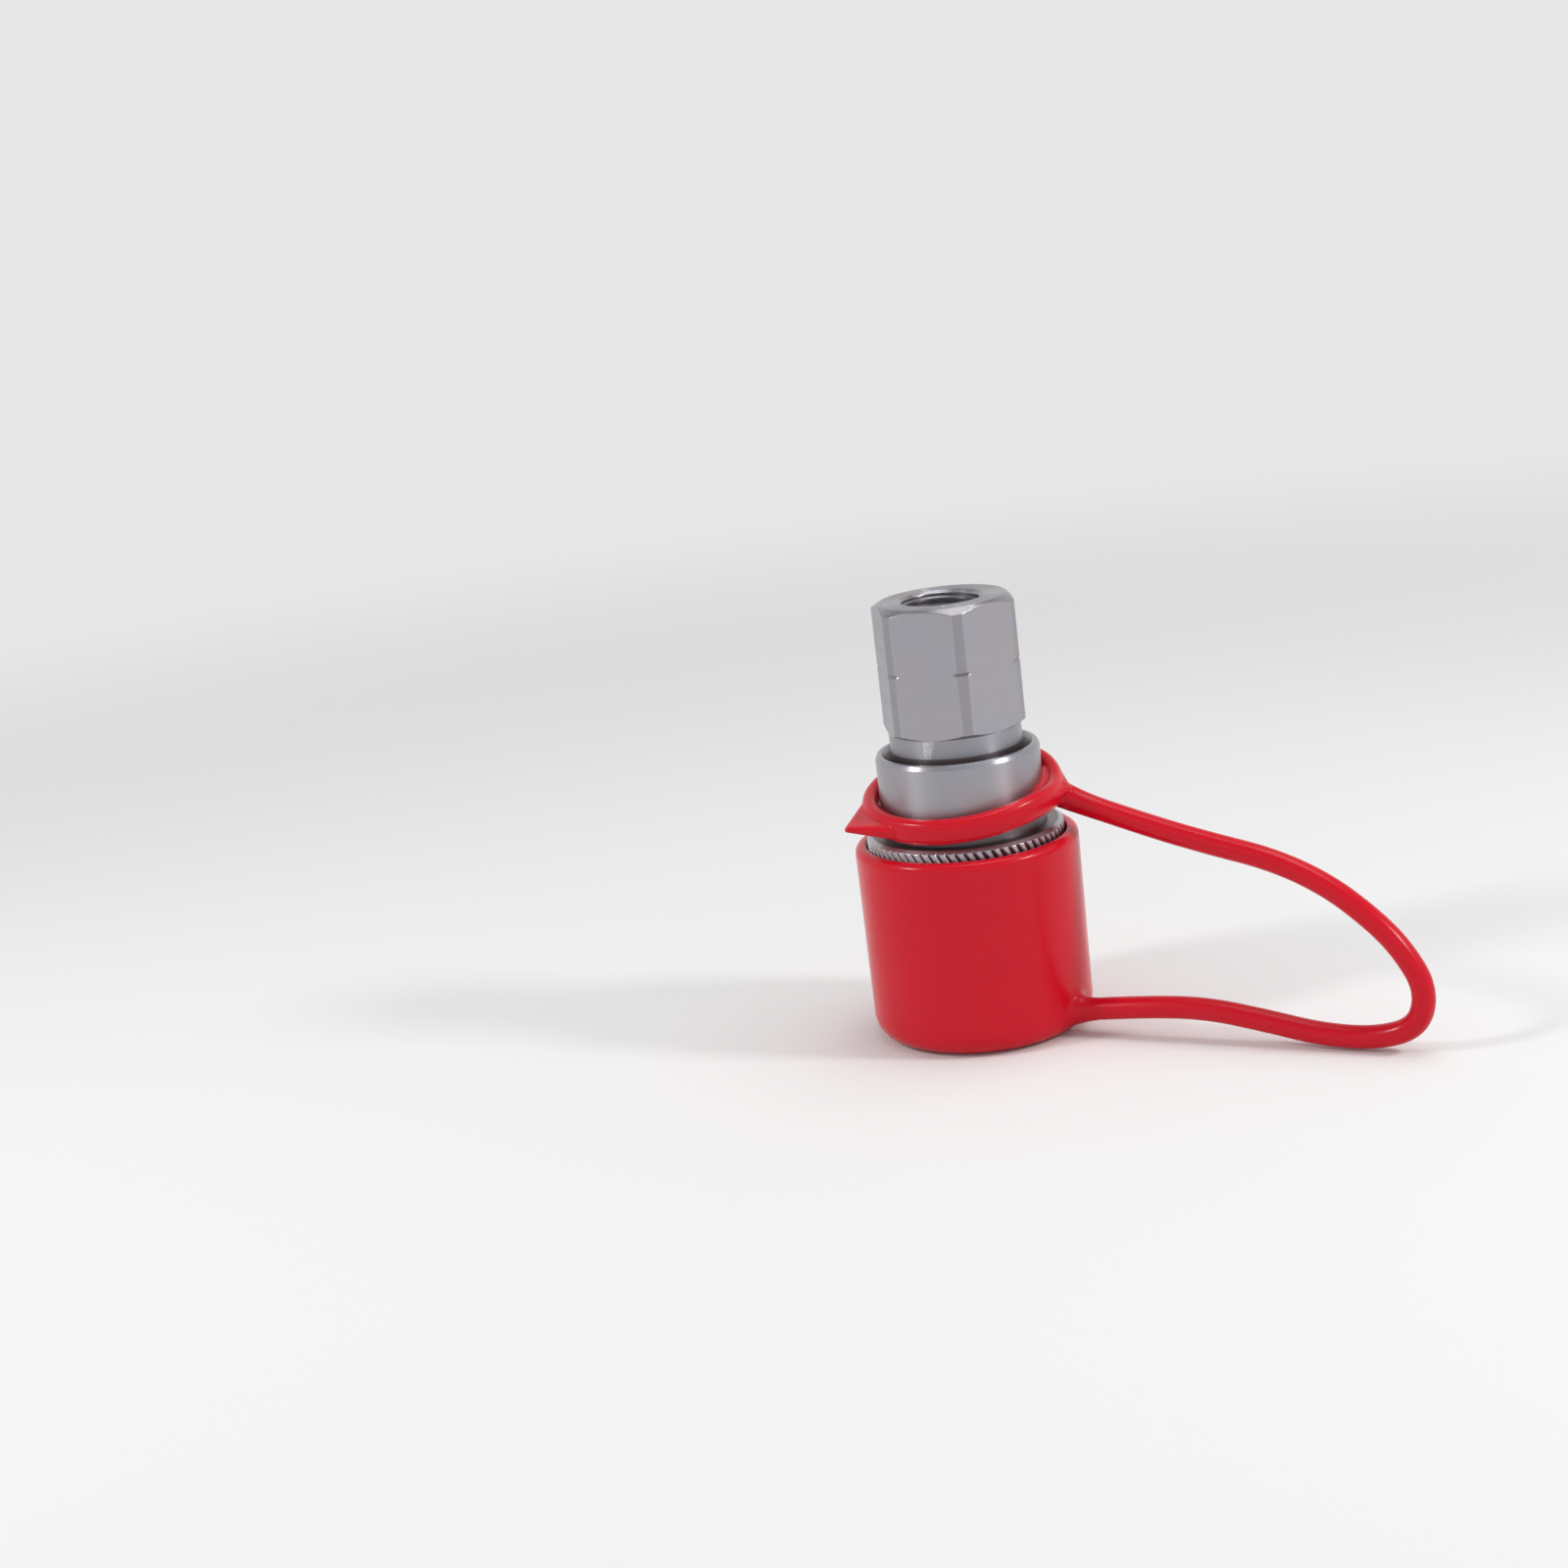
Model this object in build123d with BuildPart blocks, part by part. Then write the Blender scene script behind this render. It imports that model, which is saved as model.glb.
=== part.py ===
from build123d import *
import math
import os

# Female half of a flat face hydraulic coupler, standing port up in its dust cap.
# Millimetres, +Z from the face towards the port, origin under the middle of the cap,
# +X towards the root of the tether strap.

# Clearances, all radial or axial gaps between one piece and the next
slide_clearance = 0.1
cap_clearance = 0.3
face_gap = 0.3
wire_clearance = 0.15
bore_clearance = 0.05
seat_gap = 0.05
ball_clearance = 0.07
thread_clearance = 0.05
groove_clearance = 0.05

# Dust cap
cap_floor = 3.7
cap_rim_step = 2.0
cap_wall = 2.45
cap_draft = 0.3
cap_base_round = 4.7
cap_rim_round = 1.6
cap_lip_round = 0.5
cap_inner_round = 1.2
cap_root_radius = 3.5
cap_root_inset = 1.6

# Nipple size that the front bore takes, and the wall around it
nipple_radius = 12.25
nose_wall = 3.1
nose_chamfer = 0.8

# Balls that lock the nipple
ball_diameter = 4.76
ball_count = 10
ball_setback = 9.0
recess_clearance = 0.14
ball_cover = 3.0

# Locking sleeve
sleeve_wall = 3.35
sleeve_length = 33.0
land_length = 5.6
land_bevel = 0.8
sleeve_front_round = 1.0
sleeve_bevel_height = 0.6
sleeve_bevel_width = 1.05
sleeve_edge_round = 0.2
knurl_count = 68
knurl_depth = 0.55
knurl_slant = 28.0
knurl_band = 8.3
knurl_relief = 1.0
knurl_relief_depth = 0.6

# Sleeve spring and the stop ring in front of the sleeve
sleeve_wire = 1.2
sleeve_spring_space = 14.5
sleeve_spring_turns = 4.0
stop_wire = 1.4
stop_ring_rise = 0.3
stop_ring_gap = 3.0

# Coupler body
body_length = 55.6
body_back_bevel = 1.0
body_bevel_width = 0.5
body_edge_round = 0.25
chamber_setback = 20.0
chamber_step = 0.8
body_thread_step = 0.9
back_recess_depth = 2.6
back_recess_step = 1.5

# Nipple seal groove
nose_groove_setback = 13.8
nose_groove_width = 2.6
nose_groove_depth = 2.05
nose_seal_section = 1.9

# Backup rings
backup_thickness = 0.62

# Stem and its seal
stem_head_radius = 6.0
stem_head_length = 3.3
stem_head_bevel = 0.6
stem_head_bevel_height = 0.3
stem_cone_length = 4.0
stem_shank_radius = 3.2
stem_groove_setback = 1.3
stem_groove_width = 1.8
stem_groove_depth = 1.5
stem_seal_section = 1.54
stem_thread_radius = 2.5

# Valve sleeve
valve_radius = 8.1
valve_bore = 5.5
valve_seat_depth = 4.0
valve_travel = 7.5
valve_end_gap = 1.3
valve_collar_radius = 9.9
valve_collar_setback = 18.0
valve_collar_thickness = 2.0

# Face ring
face_ring_gap = 0.2
face_lip_thickness = 4.0
face_tube_bore = 10.9
face_flange_thickness = 1.6

# Springs behind the valve sleeve and the face ring
valve_wire = 1.3
valve_turns = 5.0
face_wire = 1.3
face_turns = 4.0

# End adapter
adapter_seat_setback = 38.0
adapter_nose_length = 4.0
adapter_thread_length = 11.0
adapter_neck_step = 0.45
hex_setback = 60.0
hex_flats = 27.0
hex_corner_radius = 14.95
hex_height = 26.5
hex_turn = 13.0
hex_bevel_angle = 30.0
hex_bevel_inset = 0.6
corner_groove_depth = 0.35
corner_groove_width = 0.5
port_minor_radius = 7.475
port_mouth_radius = 8.7
port_depth = 14.5
flow_radius = 6.9

# Adapter seal and guide seal grooves, set back from the adapter's nose
adapter_groove_setback = 0.9
adapter_groove_width = 1.8
adapter_groove_depth = 1.5
adapter_seal_section = 1.54
guide_groove_setback = 3.3
guide_groove_width = 2.6
guide_groove_depth = 1.9
guide_seal_section = 1.86

# Spider that carries the stem, its circlip and its nut
spider_setback = 54.5
spider_thickness = 3.0
spider_hole_count = 8
spider_hole_radius = 1.2
spider_hole_circle = 5.6
circlip_thickness = 1.1
circlip_depth = 0.7
circlip_reach = 0.7
circlip_gap = 4.0
nut_flats = 8.0
nut_height = 4.0
nut_stem_end = 0.7

# Tether ring and strap
strap_diameter = 4.6
ring_width = 3.5
ring_depth = 5.3
ring_clearance = 0.6
ring_offset = 0.35
ring_rise = 7.0
ring_tilt = 10.0
ring_uphill = 114.0
tab_reach = 8.3
tab_angle = -120.5
tab_back_angle = -152.0
tab_front_angle = -106.0
tab_thickness = 2.6
tab_root_inset = 1.2
junction_angle = 22.0
junction_drop = 1.0
corner_reach = 3.3
corner_angle = 18.0
corner_spread = 30.0
corner_thickness = 3.4

# Strap route from the cap's root, out and round, and back to the ring
strap_route = [
    (27.0, 0.5, 5.4),
    (38.0, 1.8, 6.5),
    (50.0, 3.4, 6.8),
    (62.0, 4.9, 4.9),
    (73.0, 6.3, 2.7),
    (84.0, 7.7, 2.5),
    (92.3, 8.6, 5.4),
    (94.0, 9.3, 13.0),
    (89.6, 9.3, 20.6),
    (84.0, 9.2, 26.2),
    (75.2, 9.1, 32.5),
    (64.0, 9.1, 36.9),
    (50.5, 9.0, 39.4),
    (38.5, 8.8, 42.1),
    (27.1, 8.8, 45.1),
]
bend_share = 0.45

# Heights and radii worked out from the sizes above
face_z = cap_floor + face_gap
front_bore = nipple_radius + bore_clearance
nose_radius = front_bore + nose_wall
ball_radius = ball_diameter / 2
ball_z = face_z + ball_setback
ball_circle = front_bore + ball_radius
chamber_z = face_z + chamber_setback
chamber_radius = front_bore + chamber_step
body_thread_radius = chamber_radius + body_thread_step
body_back = face_z + body_length

sleeve_recess = ball_circle + ball_radius + recess_clearance
sleeve_front = ball_z - ball_cover
sleeve_back = sleeve_front + sleeve_length
recess_z = ball_z + ball_radius + recess_clearance
land_z = recess_z + land_bevel
land_back = land_z + land_length
land_radius = nose_radius + slide_clearance
sleeve_spring_radius = nose_radius + wire_clearance + sleeve_wire / 2
sleeve_bore = sleeve_spring_radius + sleeve_wire / 2 + wire_clearance
body_radius = sleeve_bore - slide_clearance
shoulder_z = land_back + sleeve_spring_space
bevel_z = sleeve_back - sleeve_bevel_height
knurl_z = bevel_z - knurl_band
sleeve_radius = sleeve_bore + sleeve_wall

cap_height = sleeve_back - cap_rim_step
cap_bore = sleeve_radius + cap_clearance
cap_radius = cap_bore + cap_wall
cap_base_radius = cap_radius - cap_draft

stop_ring_z = sleeve_front - seat_gap - stop_wire / 2
stop_ring_radius = nose_radius + stop_ring_rise
stop_groove = stop_ring_radius - stop_wire / 2 - groove_clearance
stop_groove_width = stop_wire + 2 * groove_clearance

nose_groove_z = face_z + nose_groove_setback
nose_groove_floor = front_bore + nose_groove_depth

adapter_z = face_z + adapter_seat_setback
adapter_nose_radius = chamber_radius - slide_clearance
adapter_thread_z = adapter_z + adapter_nose_length
adapter_thread_radius = body_thread_radius - thread_clearance
adapter_neck_z = adapter_thread_z + adapter_thread_length
adapter_neck_radius = adapter_thread_radius - adapter_neck_step
hex_z = face_z + hex_setback
port_z = hex_z + hex_height
guide_bore = valve_radius + slide_clearance
spider_z = face_z + spider_setback
spider_seat = spider_z + spider_thickness
adapter_groove_z = adapter_z + adapter_groove_setback
adapter_groove_floor = adapter_nose_radius - adapter_groove_depth
guide_groove_z = adapter_z + guide_groove_setback
guide_groove_floor = guide_bore + guide_groove_depth
stem_bore = stem_thread_radius + bore_clearance

flange_z = chamber_z + face_ring_gap
flange_back = flange_z + face_flange_thickness
flange_radius = chamber_radius - slide_clearance
face_lip_bore = valve_radius + slide_clearance + groove_clearance
valve_seat_radius = stem_head_radius + slide_clearance
collar_z = face_z + valve_collar_setback
collar_back = collar_z + valve_collar_thickness
valve_back = spider_z - circlip_thickness - valve_travel - valve_end_gap

cord_radius = strap_diameter / 2
ring_radius = body_radius + ring_clearance + ring_width / 2
ring_height = sleeve_back + ring_rise


def outline(*points):
    """Face on the XZ plane with the given corners, as (radius, height)."""
    with BuildSketch(Plane.XZ) as profile:
        with BuildLine():
            Polyline(*points, close=True)
        make_face()
    return profile.sketch


def slot(inner, outer, low, high):
    """Rectangular section between two radii and two heights."""
    return outline((inner, low), (outer, low), (outer, high), (inner, high))


def coil(mean_radius, wire, low, high, turns):
    """Round wire wound up from one seat to the other, with its ends just off them."""
    height = high - low - wire - 2 * seat_gap
    with BuildPart() as spring:
        with BuildLine(Plane.XY.offset(low + wire / 2 + seat_gap)) as path:
            Helix(pitch=height / turns, height=height, radius=mean_radius)
        with BuildSketch(path.line ^ 0):
            Circle(wire / 2)
        sweep(is_frenet=True)
    return spring.part


def ring_point(reach, angle, lift=0.0):
    """Point beside the tilted tether ring, from its distance to the ring's middle and its angle in plan."""
    plan = math.radians(angle)
    rise = math.tan(math.radians(ring_tilt)) * math.cos(math.radians(angle - ring_uphill))
    return ring_plane.origin + Vector(reach * math.cos(plan), reach * math.sin(plan), reach * rise + lift)


def web(thickness, *points):
    """Flat web of the ring's moulding, with its corners in the ring's plane."""
    with BuildPart() as made:
        with BuildSketch(ring_plane):
            with BuildLine():
                Polyline(*[ring_plane.to_local_coords(point) for point in points], close=True)
            make_face()
        extrude(amount=thickness / 2, both=True)
    return made.part


os.makedirs("parts", exist_ok=True)

# Dust cap: a moulded cup with a thick rim, a well rounded base and a flared root
# from which the tether strap leaves.
strap_start = Vector(*strap_route[0])
strap_out = (Vector(*strap_route[1]) - strap_start).normalized()
root_start = strap_start - strap_out * (strap_start.X - cap_base_radius + cap_root_inset)

with BuildPart() as dust_cap:
    with BuildSketch(Plane.XZ) as cap_section:
        with BuildLine():
            Polyline(
                (0, 0),
                (cap_base_radius, 0),
                (cap_radius, cap_height),
                (cap_bore, cap_height),
                (cap_bore, cap_floor),
                (0, cap_floor),
                close=True,
            )
        make_face()
        fillet(cap_section.vertices().sort_by_distance((cap_radius, cap_height))[0], cap_rim_round)
        fillet(cap_section.vertices().sort_by_distance((cap_bore, cap_height))[0], cap_lip_round)
        fillet(cap_section.vertices().sort_by_distance((cap_bore, cap_floor))[0], cap_inner_round)
        fillet(cap_section.vertices().sort_by_distance((cap_base_radius, 0))[0], cap_base_round)
    revolve(axis=Axis.Z)
    with BuildSketch(Plane(root_start, z_dir=strap_out)):
        Circle(cap_root_radius)
    with BuildSketch(Plane(strap_start, z_dir=strap_out)):
        Circle(cord_radius)
    loft()
dust_cap.part.label = "dust_cap"
export_step(dust_cap.part, "parts/dust_cap.step")

# Tether strap: a round cord of the cap's own plastic, from the cap's root to the ring.
route = [Vector(*point) for point in strap_route]
runs = [after - before for before, after in zip(route, route[1:])]
bends = []
for before, after in zip(runs, runs[1:]):
    turn = math.radians(before.get_angle(after))
    bends.append(bend_share * min(before.length, after.length) / math.tan(turn / 2))
print("strap bend radii", [round(bend, 1) for bend in bends])

with BuildPart() as tether_strap:
    with BuildLine() as strap_line:
        FilletPolyline(*route, radius=bends)
    with BuildSketch(strap_line.line ^ 0):
        Circle(cord_radius)
    sweep()
tether_strap.part.label = "tether_strap"
export_step(tether_strap.part, "parts/tether_strap.step")
strap_length = strap_line.wire().length
strap_volume = math.pi * cord_radius**2 * strap_length
print("strap length", round(strap_length, 1), "volume ratio", round(tether_strap.part.volume / strap_volume, 4))

# Tether ring: a loose ring of oval section about the body, tilted by the springy strap and
# drawn to a corner where it leads into the strap, with a pointed pull tab on the far side.
ring_uphill_turn = math.radians(ring_uphill)
ring_normal = Vector(0, 0, 1).rotate(
    Axis((0, 0, 0), (-math.sin(ring_uphill_turn), math.cos(ring_uphill_turn), 0)),
    -ring_tilt,
)
ring_middle = Vector(ring_offset, 0, ring_height).rotate(Axis.Z, junction_angle)
ring_plane = Plane(ring_middle, z_dir=ring_normal)
strap_end = route[-1]
strap_in = runs[-1].normalized()
lug_start = ring_point(ring_radius, junction_angle, -junction_drop)
web_root = ring_radius + tab_root_inset

with BuildPart() as tether_ring:
    with BuildSketch(Plane(ring_middle, x_dir=ring_plane.x_dir, z_dir=-ring_plane.y_dir)):
        with Locations((ring_radius, 0)):
            Ellipse(ring_width / 2, ring_depth / 2)
    revolve(axis=Axis(ring_middle, ring_normal))
    add(
        web(
            tab_thickness,
            ring_point(web_root, tab_back_angle),
            ring_point(ring_radius + tab_reach, tab_angle),
            ring_point(web_root, tab_front_angle),
        )
    )
    add(
        web(
            corner_thickness,
            ring_point(web_root, corner_angle - corner_spread),
            ring_point(ring_radius + corner_reach, corner_angle),
            ring_point(web_root, corner_angle + corner_spread),
        )
    )
    with BuildLine() as lug_line:
        Bezier(strap_end, strap_end + strap_in * strap_diameter, lug_start)
    with BuildSketch(lug_line.line ^ 0):
        Circle(cord_radius)
    sweep()
tether_ring.part.label = "tether_ring"
export_step(tether_ring.part, "parts/tether_ring.step")

# Coupler body: nose with ball holes and seal groove, shoulder for the sleeve spring,
# and a wider back with the adapter's thread and an open bevelled recess.
with BuildPart() as coupler_body:
    with BuildSketch(Plane.XZ) as body_section:
        with BuildLine():
            Polyline(
                (front_bore, face_z),
                (nose_radius - nose_chamfer, face_z),
                (nose_radius, face_z + nose_chamfer),
                (nose_radius, shoulder_z),
                (body_radius, shoulder_z),
                (body_radius, body_back - body_back_bevel),
                (body_radius - body_bevel_width, body_back),
                (body_thread_radius + back_recess_step, body_back),
                (body_thread_radius, body_back - back_recess_depth),
                (body_thread_radius, adapter_thread_z),
                (chamber_radius, adapter_thread_z),
                (chamber_radius, chamber_z),
                (front_bore, chamber_z),
                close=True,
            )
        make_face()
        fillet(body_section.vertices().sort_by_distance((body_radius, body_back))[:2], body_edge_round)
    revolve(axis=Axis.Z)
    revolve(
        slot(
            front_bore - bore_clearance,
            nose_groove_floor,
            nose_groove_z,
            nose_groove_z + nose_groove_width,
        ),
        axis=Axis.Z,
        mode=Mode.SUBTRACT,
    )
    revolve(
        slot(
            stop_groove,
            nose_radius + groove_clearance,
            stop_ring_z - stop_groove_width / 2,
            stop_ring_z + stop_groove_width / 2,
        ),
        axis=Axis.Z,
        mode=Mode.SUBTRACT,
    )
    with Locations(Plane.XY.offset(ball_z)):
        with PolarLocations(ball_circle, ball_count):
            Cylinder(
                ball_radius + ball_clearance,
                2 * nose_wall + ball_radius,
                rotation=(0, 90, 0),
                mode=Mode.SUBTRACT,
            )
coupler_body.part.label = "coupler_body"
export_step(coupler_body.part, "parts/coupler_body.step")

# Locking balls: held out by the face ring, so that they hold the sleeve back.
with BuildPart() as locking_balls:
    with Locations(Plane.XY.offset(ball_z)):
        with PolarLocations(ball_circle, ball_count):
            Sphere(ball_radius)
locking_balls.part.label = "locking_balls"
export_step(locking_balls.part, "parts/locking_balls.step")

# Stop ring: round wire with a gap, in a groove of the nose.
with BuildPart() as stop_ring:
    with Locations(Plane.XY.offset(stop_ring_z)):
        Torus(stop_ring_radius, stop_wire / 2)
        with Locations((-stop_ring_radius, 0, 0)):
            Box(2 * stop_wire, stop_ring_gap, 2 * stop_wire, mode=Mode.SUBTRACT)
stop_ring.part.label = "stop_ring"
export_step(stop_ring.part, "parts/stop_ring.step")

# Locking sleeve: ball recess, land and spring bore inside, and a slanted knurl outside
# between a turned relief and a bright bevel.
knurl_cutter = 2 * knurl_depth
cutter_centre = sleeve_radius + knurl_cutter / math.sqrt(2) - knurl_depth
cutter_length = (knurl_band + knurl_relief) / math.cos(math.radians(knurl_slant))

with BuildPart() as lock_sleeve:
    with BuildSketch(Plane.XZ) as sleeve_section:
        with BuildLine():
            Polyline(
                (sleeve_recess, sleeve_front),
                (sleeve_radius, sleeve_front),
                (sleeve_radius, knurl_z - knurl_relief),
                (sleeve_radius - knurl_relief_depth, knurl_z - knurl_relief),
                (sleeve_radius - knurl_relief_depth, knurl_z),
                (sleeve_radius, knurl_z),
                (sleeve_radius, bevel_z),
                (sleeve_radius - sleeve_bevel_width, sleeve_back),
                (sleeve_bore, sleeve_back),
                (sleeve_bore, land_back),
                (land_radius, land_back),
                (land_radius, land_z),
                (sleeve_recess, recess_z),
                close=True,
            )
        make_face()
        fillet(
            sleeve_section.vertices().sort_by_distance((sleeve_radius, sleeve_front))[0],
            sleeve_front_round,
        )
        fillet(sleeve_section.vertices().sort_by_distance((sleeve_radius, sleeve_back))[:2], sleeve_edge_round)
    revolve(axis=Axis.Z)
    with Locations(Plane.XY.offset(knurl_z + knurl_band / 2)):
        with PolarLocations(cutter_centre, knurl_count):
            Box(
                knurl_cutter,
                knurl_cutter,
                cutter_length,
                rotation=(knurl_slant, 0, 45),
                mode=Mode.SUBTRACT,
            )
lock_sleeve.part.label = "lock_sleeve"
export_step(lock_sleeve.part, "parts/lock_sleeve.step")

# Sleeve spring: between the sleeve's land and the body's shoulder.
with BuildPart() as sleeve_spring:
    add(coil(sleeve_spring_radius, sleeve_wire, land_back, shoulder_z, sleeve_spring_turns))
sleeve_spring.part.label = "sleeve_spring"
export_step(sleeve_spring.part, "parts/sleeve_spring.step")

# Nipple seal and its backup ring, in the groove of the nose.
nose_seal_radius = nose_groove_floor - groove_clearance - nose_seal_section / 2
nose_seal_z = nose_groove_z + nose_groove_width - groove_clearance - nose_seal_section / 2
with BuildPart() as nose_seal:
    with Locations(Plane.XY.offset(nose_seal_z)):
        Torus(nose_seal_radius, nose_seal_section / 2)
nose_seal.part.label = "nose_seal"
export_step(nose_seal.part, "parts/nose_seal.step")

with BuildPart() as nose_backup_ring:
    revolve(
        slot(
            front_bore + groove_clearance,
            nose_groove_floor - groove_clearance,
            nose_groove_z,
            nose_groove_z + backup_thickness,
        ),
        axis=Axis.Z,
    )
nose_backup_ring.part.label = "nose_backup_ring"
export_step(nose_backup_ring.part, "parts/nose_backup_ring.step")

# Valve stem: fixed flat head with a seal groove, a cone, a shank and a threaded end.
stem_cone_z = face_z + stem_head_length
stem_groove_z = face_z + stem_groove_setback
stem_groove_floor = stem_head_radius - stem_groove_depth
with BuildPart() as valve_stem:
    revolve(
        outline(
            (0, face_z),
            (stem_head_radius, face_z),
            (stem_head_radius, stem_cone_z),
            (stem_head_radius - stem_head_bevel, stem_cone_z + stem_head_bevel_height),
            (stem_shank_radius, stem_cone_z + stem_cone_length),
            (stem_shank_radius, spider_z),
            (stem_thread_radius, spider_z),
            (stem_thread_radius, spider_seat + nut_height + nut_stem_end),
            (0, spider_seat + nut_height + nut_stem_end),
        ),
        axis=Axis.Z,
    )
    revolve(
        slot(
            stem_groove_floor,
            stem_head_radius + slide_clearance,
            stem_groove_z,
            stem_groove_z + stem_groove_width,
        ),
        axis=Axis.Z,
        mode=Mode.SUBTRACT,
    )
valve_stem.part.label = "valve_stem"
export_step(valve_stem.part, "parts/valve_stem.step")

with BuildPart() as stem_seal:
    with Locations(Plane.XY.offset(stem_groove_z + stem_groove_width / 2)):
        Torus(stem_groove_floor + seat_gap / 2 + stem_seal_section / 2, stem_seal_section / 2)
stem_seal.part.label = "stem_seal"
export_step(stem_seal.part, "parts/stem_seal.step")

# Valve sleeve: slides over the stem and shuts on its head.
with BuildPart() as valve_sleeve:
    revolve(
        outline(
            (valve_seat_radius, face_z),
            (valve_radius, face_z),
            (valve_radius, collar_z),
            (valve_collar_radius, collar_z),
            (valve_collar_radius, collar_back),
            (valve_radius, collar_back),
            (valve_radius, valve_back),
            (valve_bore, valve_back),
            (valve_bore, face_z + valve_seat_depth),
            (valve_seat_radius, face_z + valve_seat_depth),
        ),
        axis=Axis.Z,
    )
valve_sleeve.part.label = "valve_sleeve"
export_step(valve_sleeve.part, "parts/valve_sleeve.step")

with BuildPart() as valve_spring:
    add(
        coil(
            valve_radius + wire_clearance + valve_wire / 2,
            valve_wire,
            collar_back,
            adapter_z,
            valve_turns,
        )
    )
valve_spring.part.label = "valve_spring"
export_step(valve_spring.part, "parts/valve_spring.step")

# Face ring: closes the gap between valve sleeve and nose, and holds the balls out.
with BuildPart() as face_ring:
    revolve(
        outline(
            (face_lip_bore, face_z),
            (nipple_radius, face_z),
            (nipple_radius, flange_z),
            (flange_radius, flange_z),
            (flange_radius, flange_back),
            (face_tube_bore, flange_back),
            (face_tube_bore, face_z + face_lip_thickness),
            (face_lip_bore, face_z + face_lip_thickness),
        ),
        axis=Axis.Z,
    )
face_ring.part.label = "face_ring"
export_step(face_ring.part, "parts/face_ring.step")

face_spring_radius = (face_tube_bore + flange_radius) / 2
with BuildPart() as face_ring_spring:
    add(coil(face_spring_radius, face_wire, flange_back, adapter_z, face_turns))
face_ring_spring.part.label = "face_ring_spring"
export_step(face_ring_spring.part, "parts/face_ring_spring.step")

# End adapter: nose, body thread, neck and a hexagon with turned corners, bored for the
# valve sleeve, the stem's spider and the threaded port.
hex_slope = math.tan(math.radians(hex_bevel_angle))
hex_top_radius = hex_flats / 2 - hex_bevel_inset
with BuildPart() as end_adapter:
    with BuildSketch(Plane.XY.offset(hex_z)):
        RegularPolygon(hex_flats / 2, side_count=6, major_radius=False, rotation=hex_turn)
    extrude(amount=hex_height)
    revolve(
        outline(
            (0, hex_z),
            (adapter_neck_radius, hex_z),
            (hex_corner_radius, hex_z + (hex_corner_radius - adapter_neck_radius) * hex_slope),
            (hex_corner_radius, port_z - (hex_corner_radius - hex_top_radius) * hex_slope),
            (hex_top_radius, port_z),
            (0, port_z),
        ),
        axis=Axis.Z,
        mode=Mode.INTERSECT,
    )
    revolve(
        outline(
            (hex_corner_radius - corner_groove_depth, hex_z + hex_height / 2),
            (hex_corner_radius + corner_groove_width, hex_z + hex_height / 2 - corner_groove_width),
            (hex_corner_radius + corner_groove_width, hex_z + hex_height / 2 + corner_groove_width),
        ),
        axis=Axis.Z,
        mode=Mode.SUBTRACT,
    )
    revolve(
        outline(
            (0, adapter_z),
            (adapter_nose_radius, adapter_z),
            (adapter_nose_radius, adapter_thread_z),
            (adapter_thread_radius, adapter_thread_z),
            (adapter_thread_radius, adapter_neck_z),
            (adapter_neck_radius, adapter_neck_z),
            (adapter_neck_radius, hex_z),
            (0, hex_z),
        ),
        axis=Axis.Z,
    )
    revolve(
        outline(
            (0, adapter_z),
            (guide_bore, adapter_z),
            (guide_bore, spider_seat),
            (flow_radius, spider_seat),
            (flow_radius, port_z - port_depth),
            (port_minor_radius, port_z - port_depth),
            (port_minor_radius, port_z - (port_mouth_radius - port_minor_radius)),
            (port_mouth_radius, port_z),
            (0, port_z),
        ),
        axis=Axis.Z,
        mode=Mode.SUBTRACT,
    )
    revolve(
        slot(
            adapter_groove_floor,
            adapter_nose_radius + groove_clearance,
            adapter_groove_z,
            adapter_groove_z + adapter_groove_width,
        ),
        axis=Axis.Z,
        mode=Mode.SUBTRACT,
    )
    revolve(
        slot(
            guide_bore - bore_clearance,
            guide_groove_floor,
            guide_groove_z,
            guide_groove_z + guide_groove_width,
        ),
        axis=Axis.Z,
        mode=Mode.SUBTRACT,
    )
    revolve(
        slot(
            guide_bore - bore_clearance,
            guide_bore + circlip_depth,
            spider_z - circlip_thickness,
            spider_z,
        ),
        axis=Axis.Z,
        mode=Mode.SUBTRACT,
    )
end_adapter.part.label = "end_adapter"
export_step(end_adapter.part, "parts/end_adapter.step")

# Adapter seal, guide seal and the guide's backup ring.
adapter_seal_radius = adapter_groove_floor + groove_clearance / 2 + adapter_seal_section / 2
with BuildPart() as adapter_seal:
    with Locations(Plane.XY.offset(adapter_groove_z + adapter_groove_width / 2)):
        Torus(adapter_seal_radius, adapter_seal_section / 2)
adapter_seal.part.label = "adapter_seal"
export_step(adapter_seal.part, "parts/adapter_seal.step")

guide_seal_z = guide_groove_z + guide_groove_width - groove_clearance - guide_seal_section / 2
with BuildPart() as guide_seal:
    with Locations(Plane.XY.offset(guide_seal_z)):
        Torus(guide_groove_floor - groove_clearance - guide_seal_section / 2, guide_seal_section / 2)
guide_seal.part.label = "guide_seal"
export_step(guide_seal.part, "parts/guide_seal.step")

with BuildPart() as guide_backup_ring:
    revolve(
        slot(
            guide_bore - bore_clearance,
            guide_groove_floor - groove_clearance,
            guide_groove_z,
            guide_groove_z + backup_thickness,
        ),
        axis=Axis.Z,
    )
guide_backup_ring.part.label = "guide_backup_ring"
export_step(guide_backup_ring.part, "parts/guide_backup_ring.step")

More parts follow.
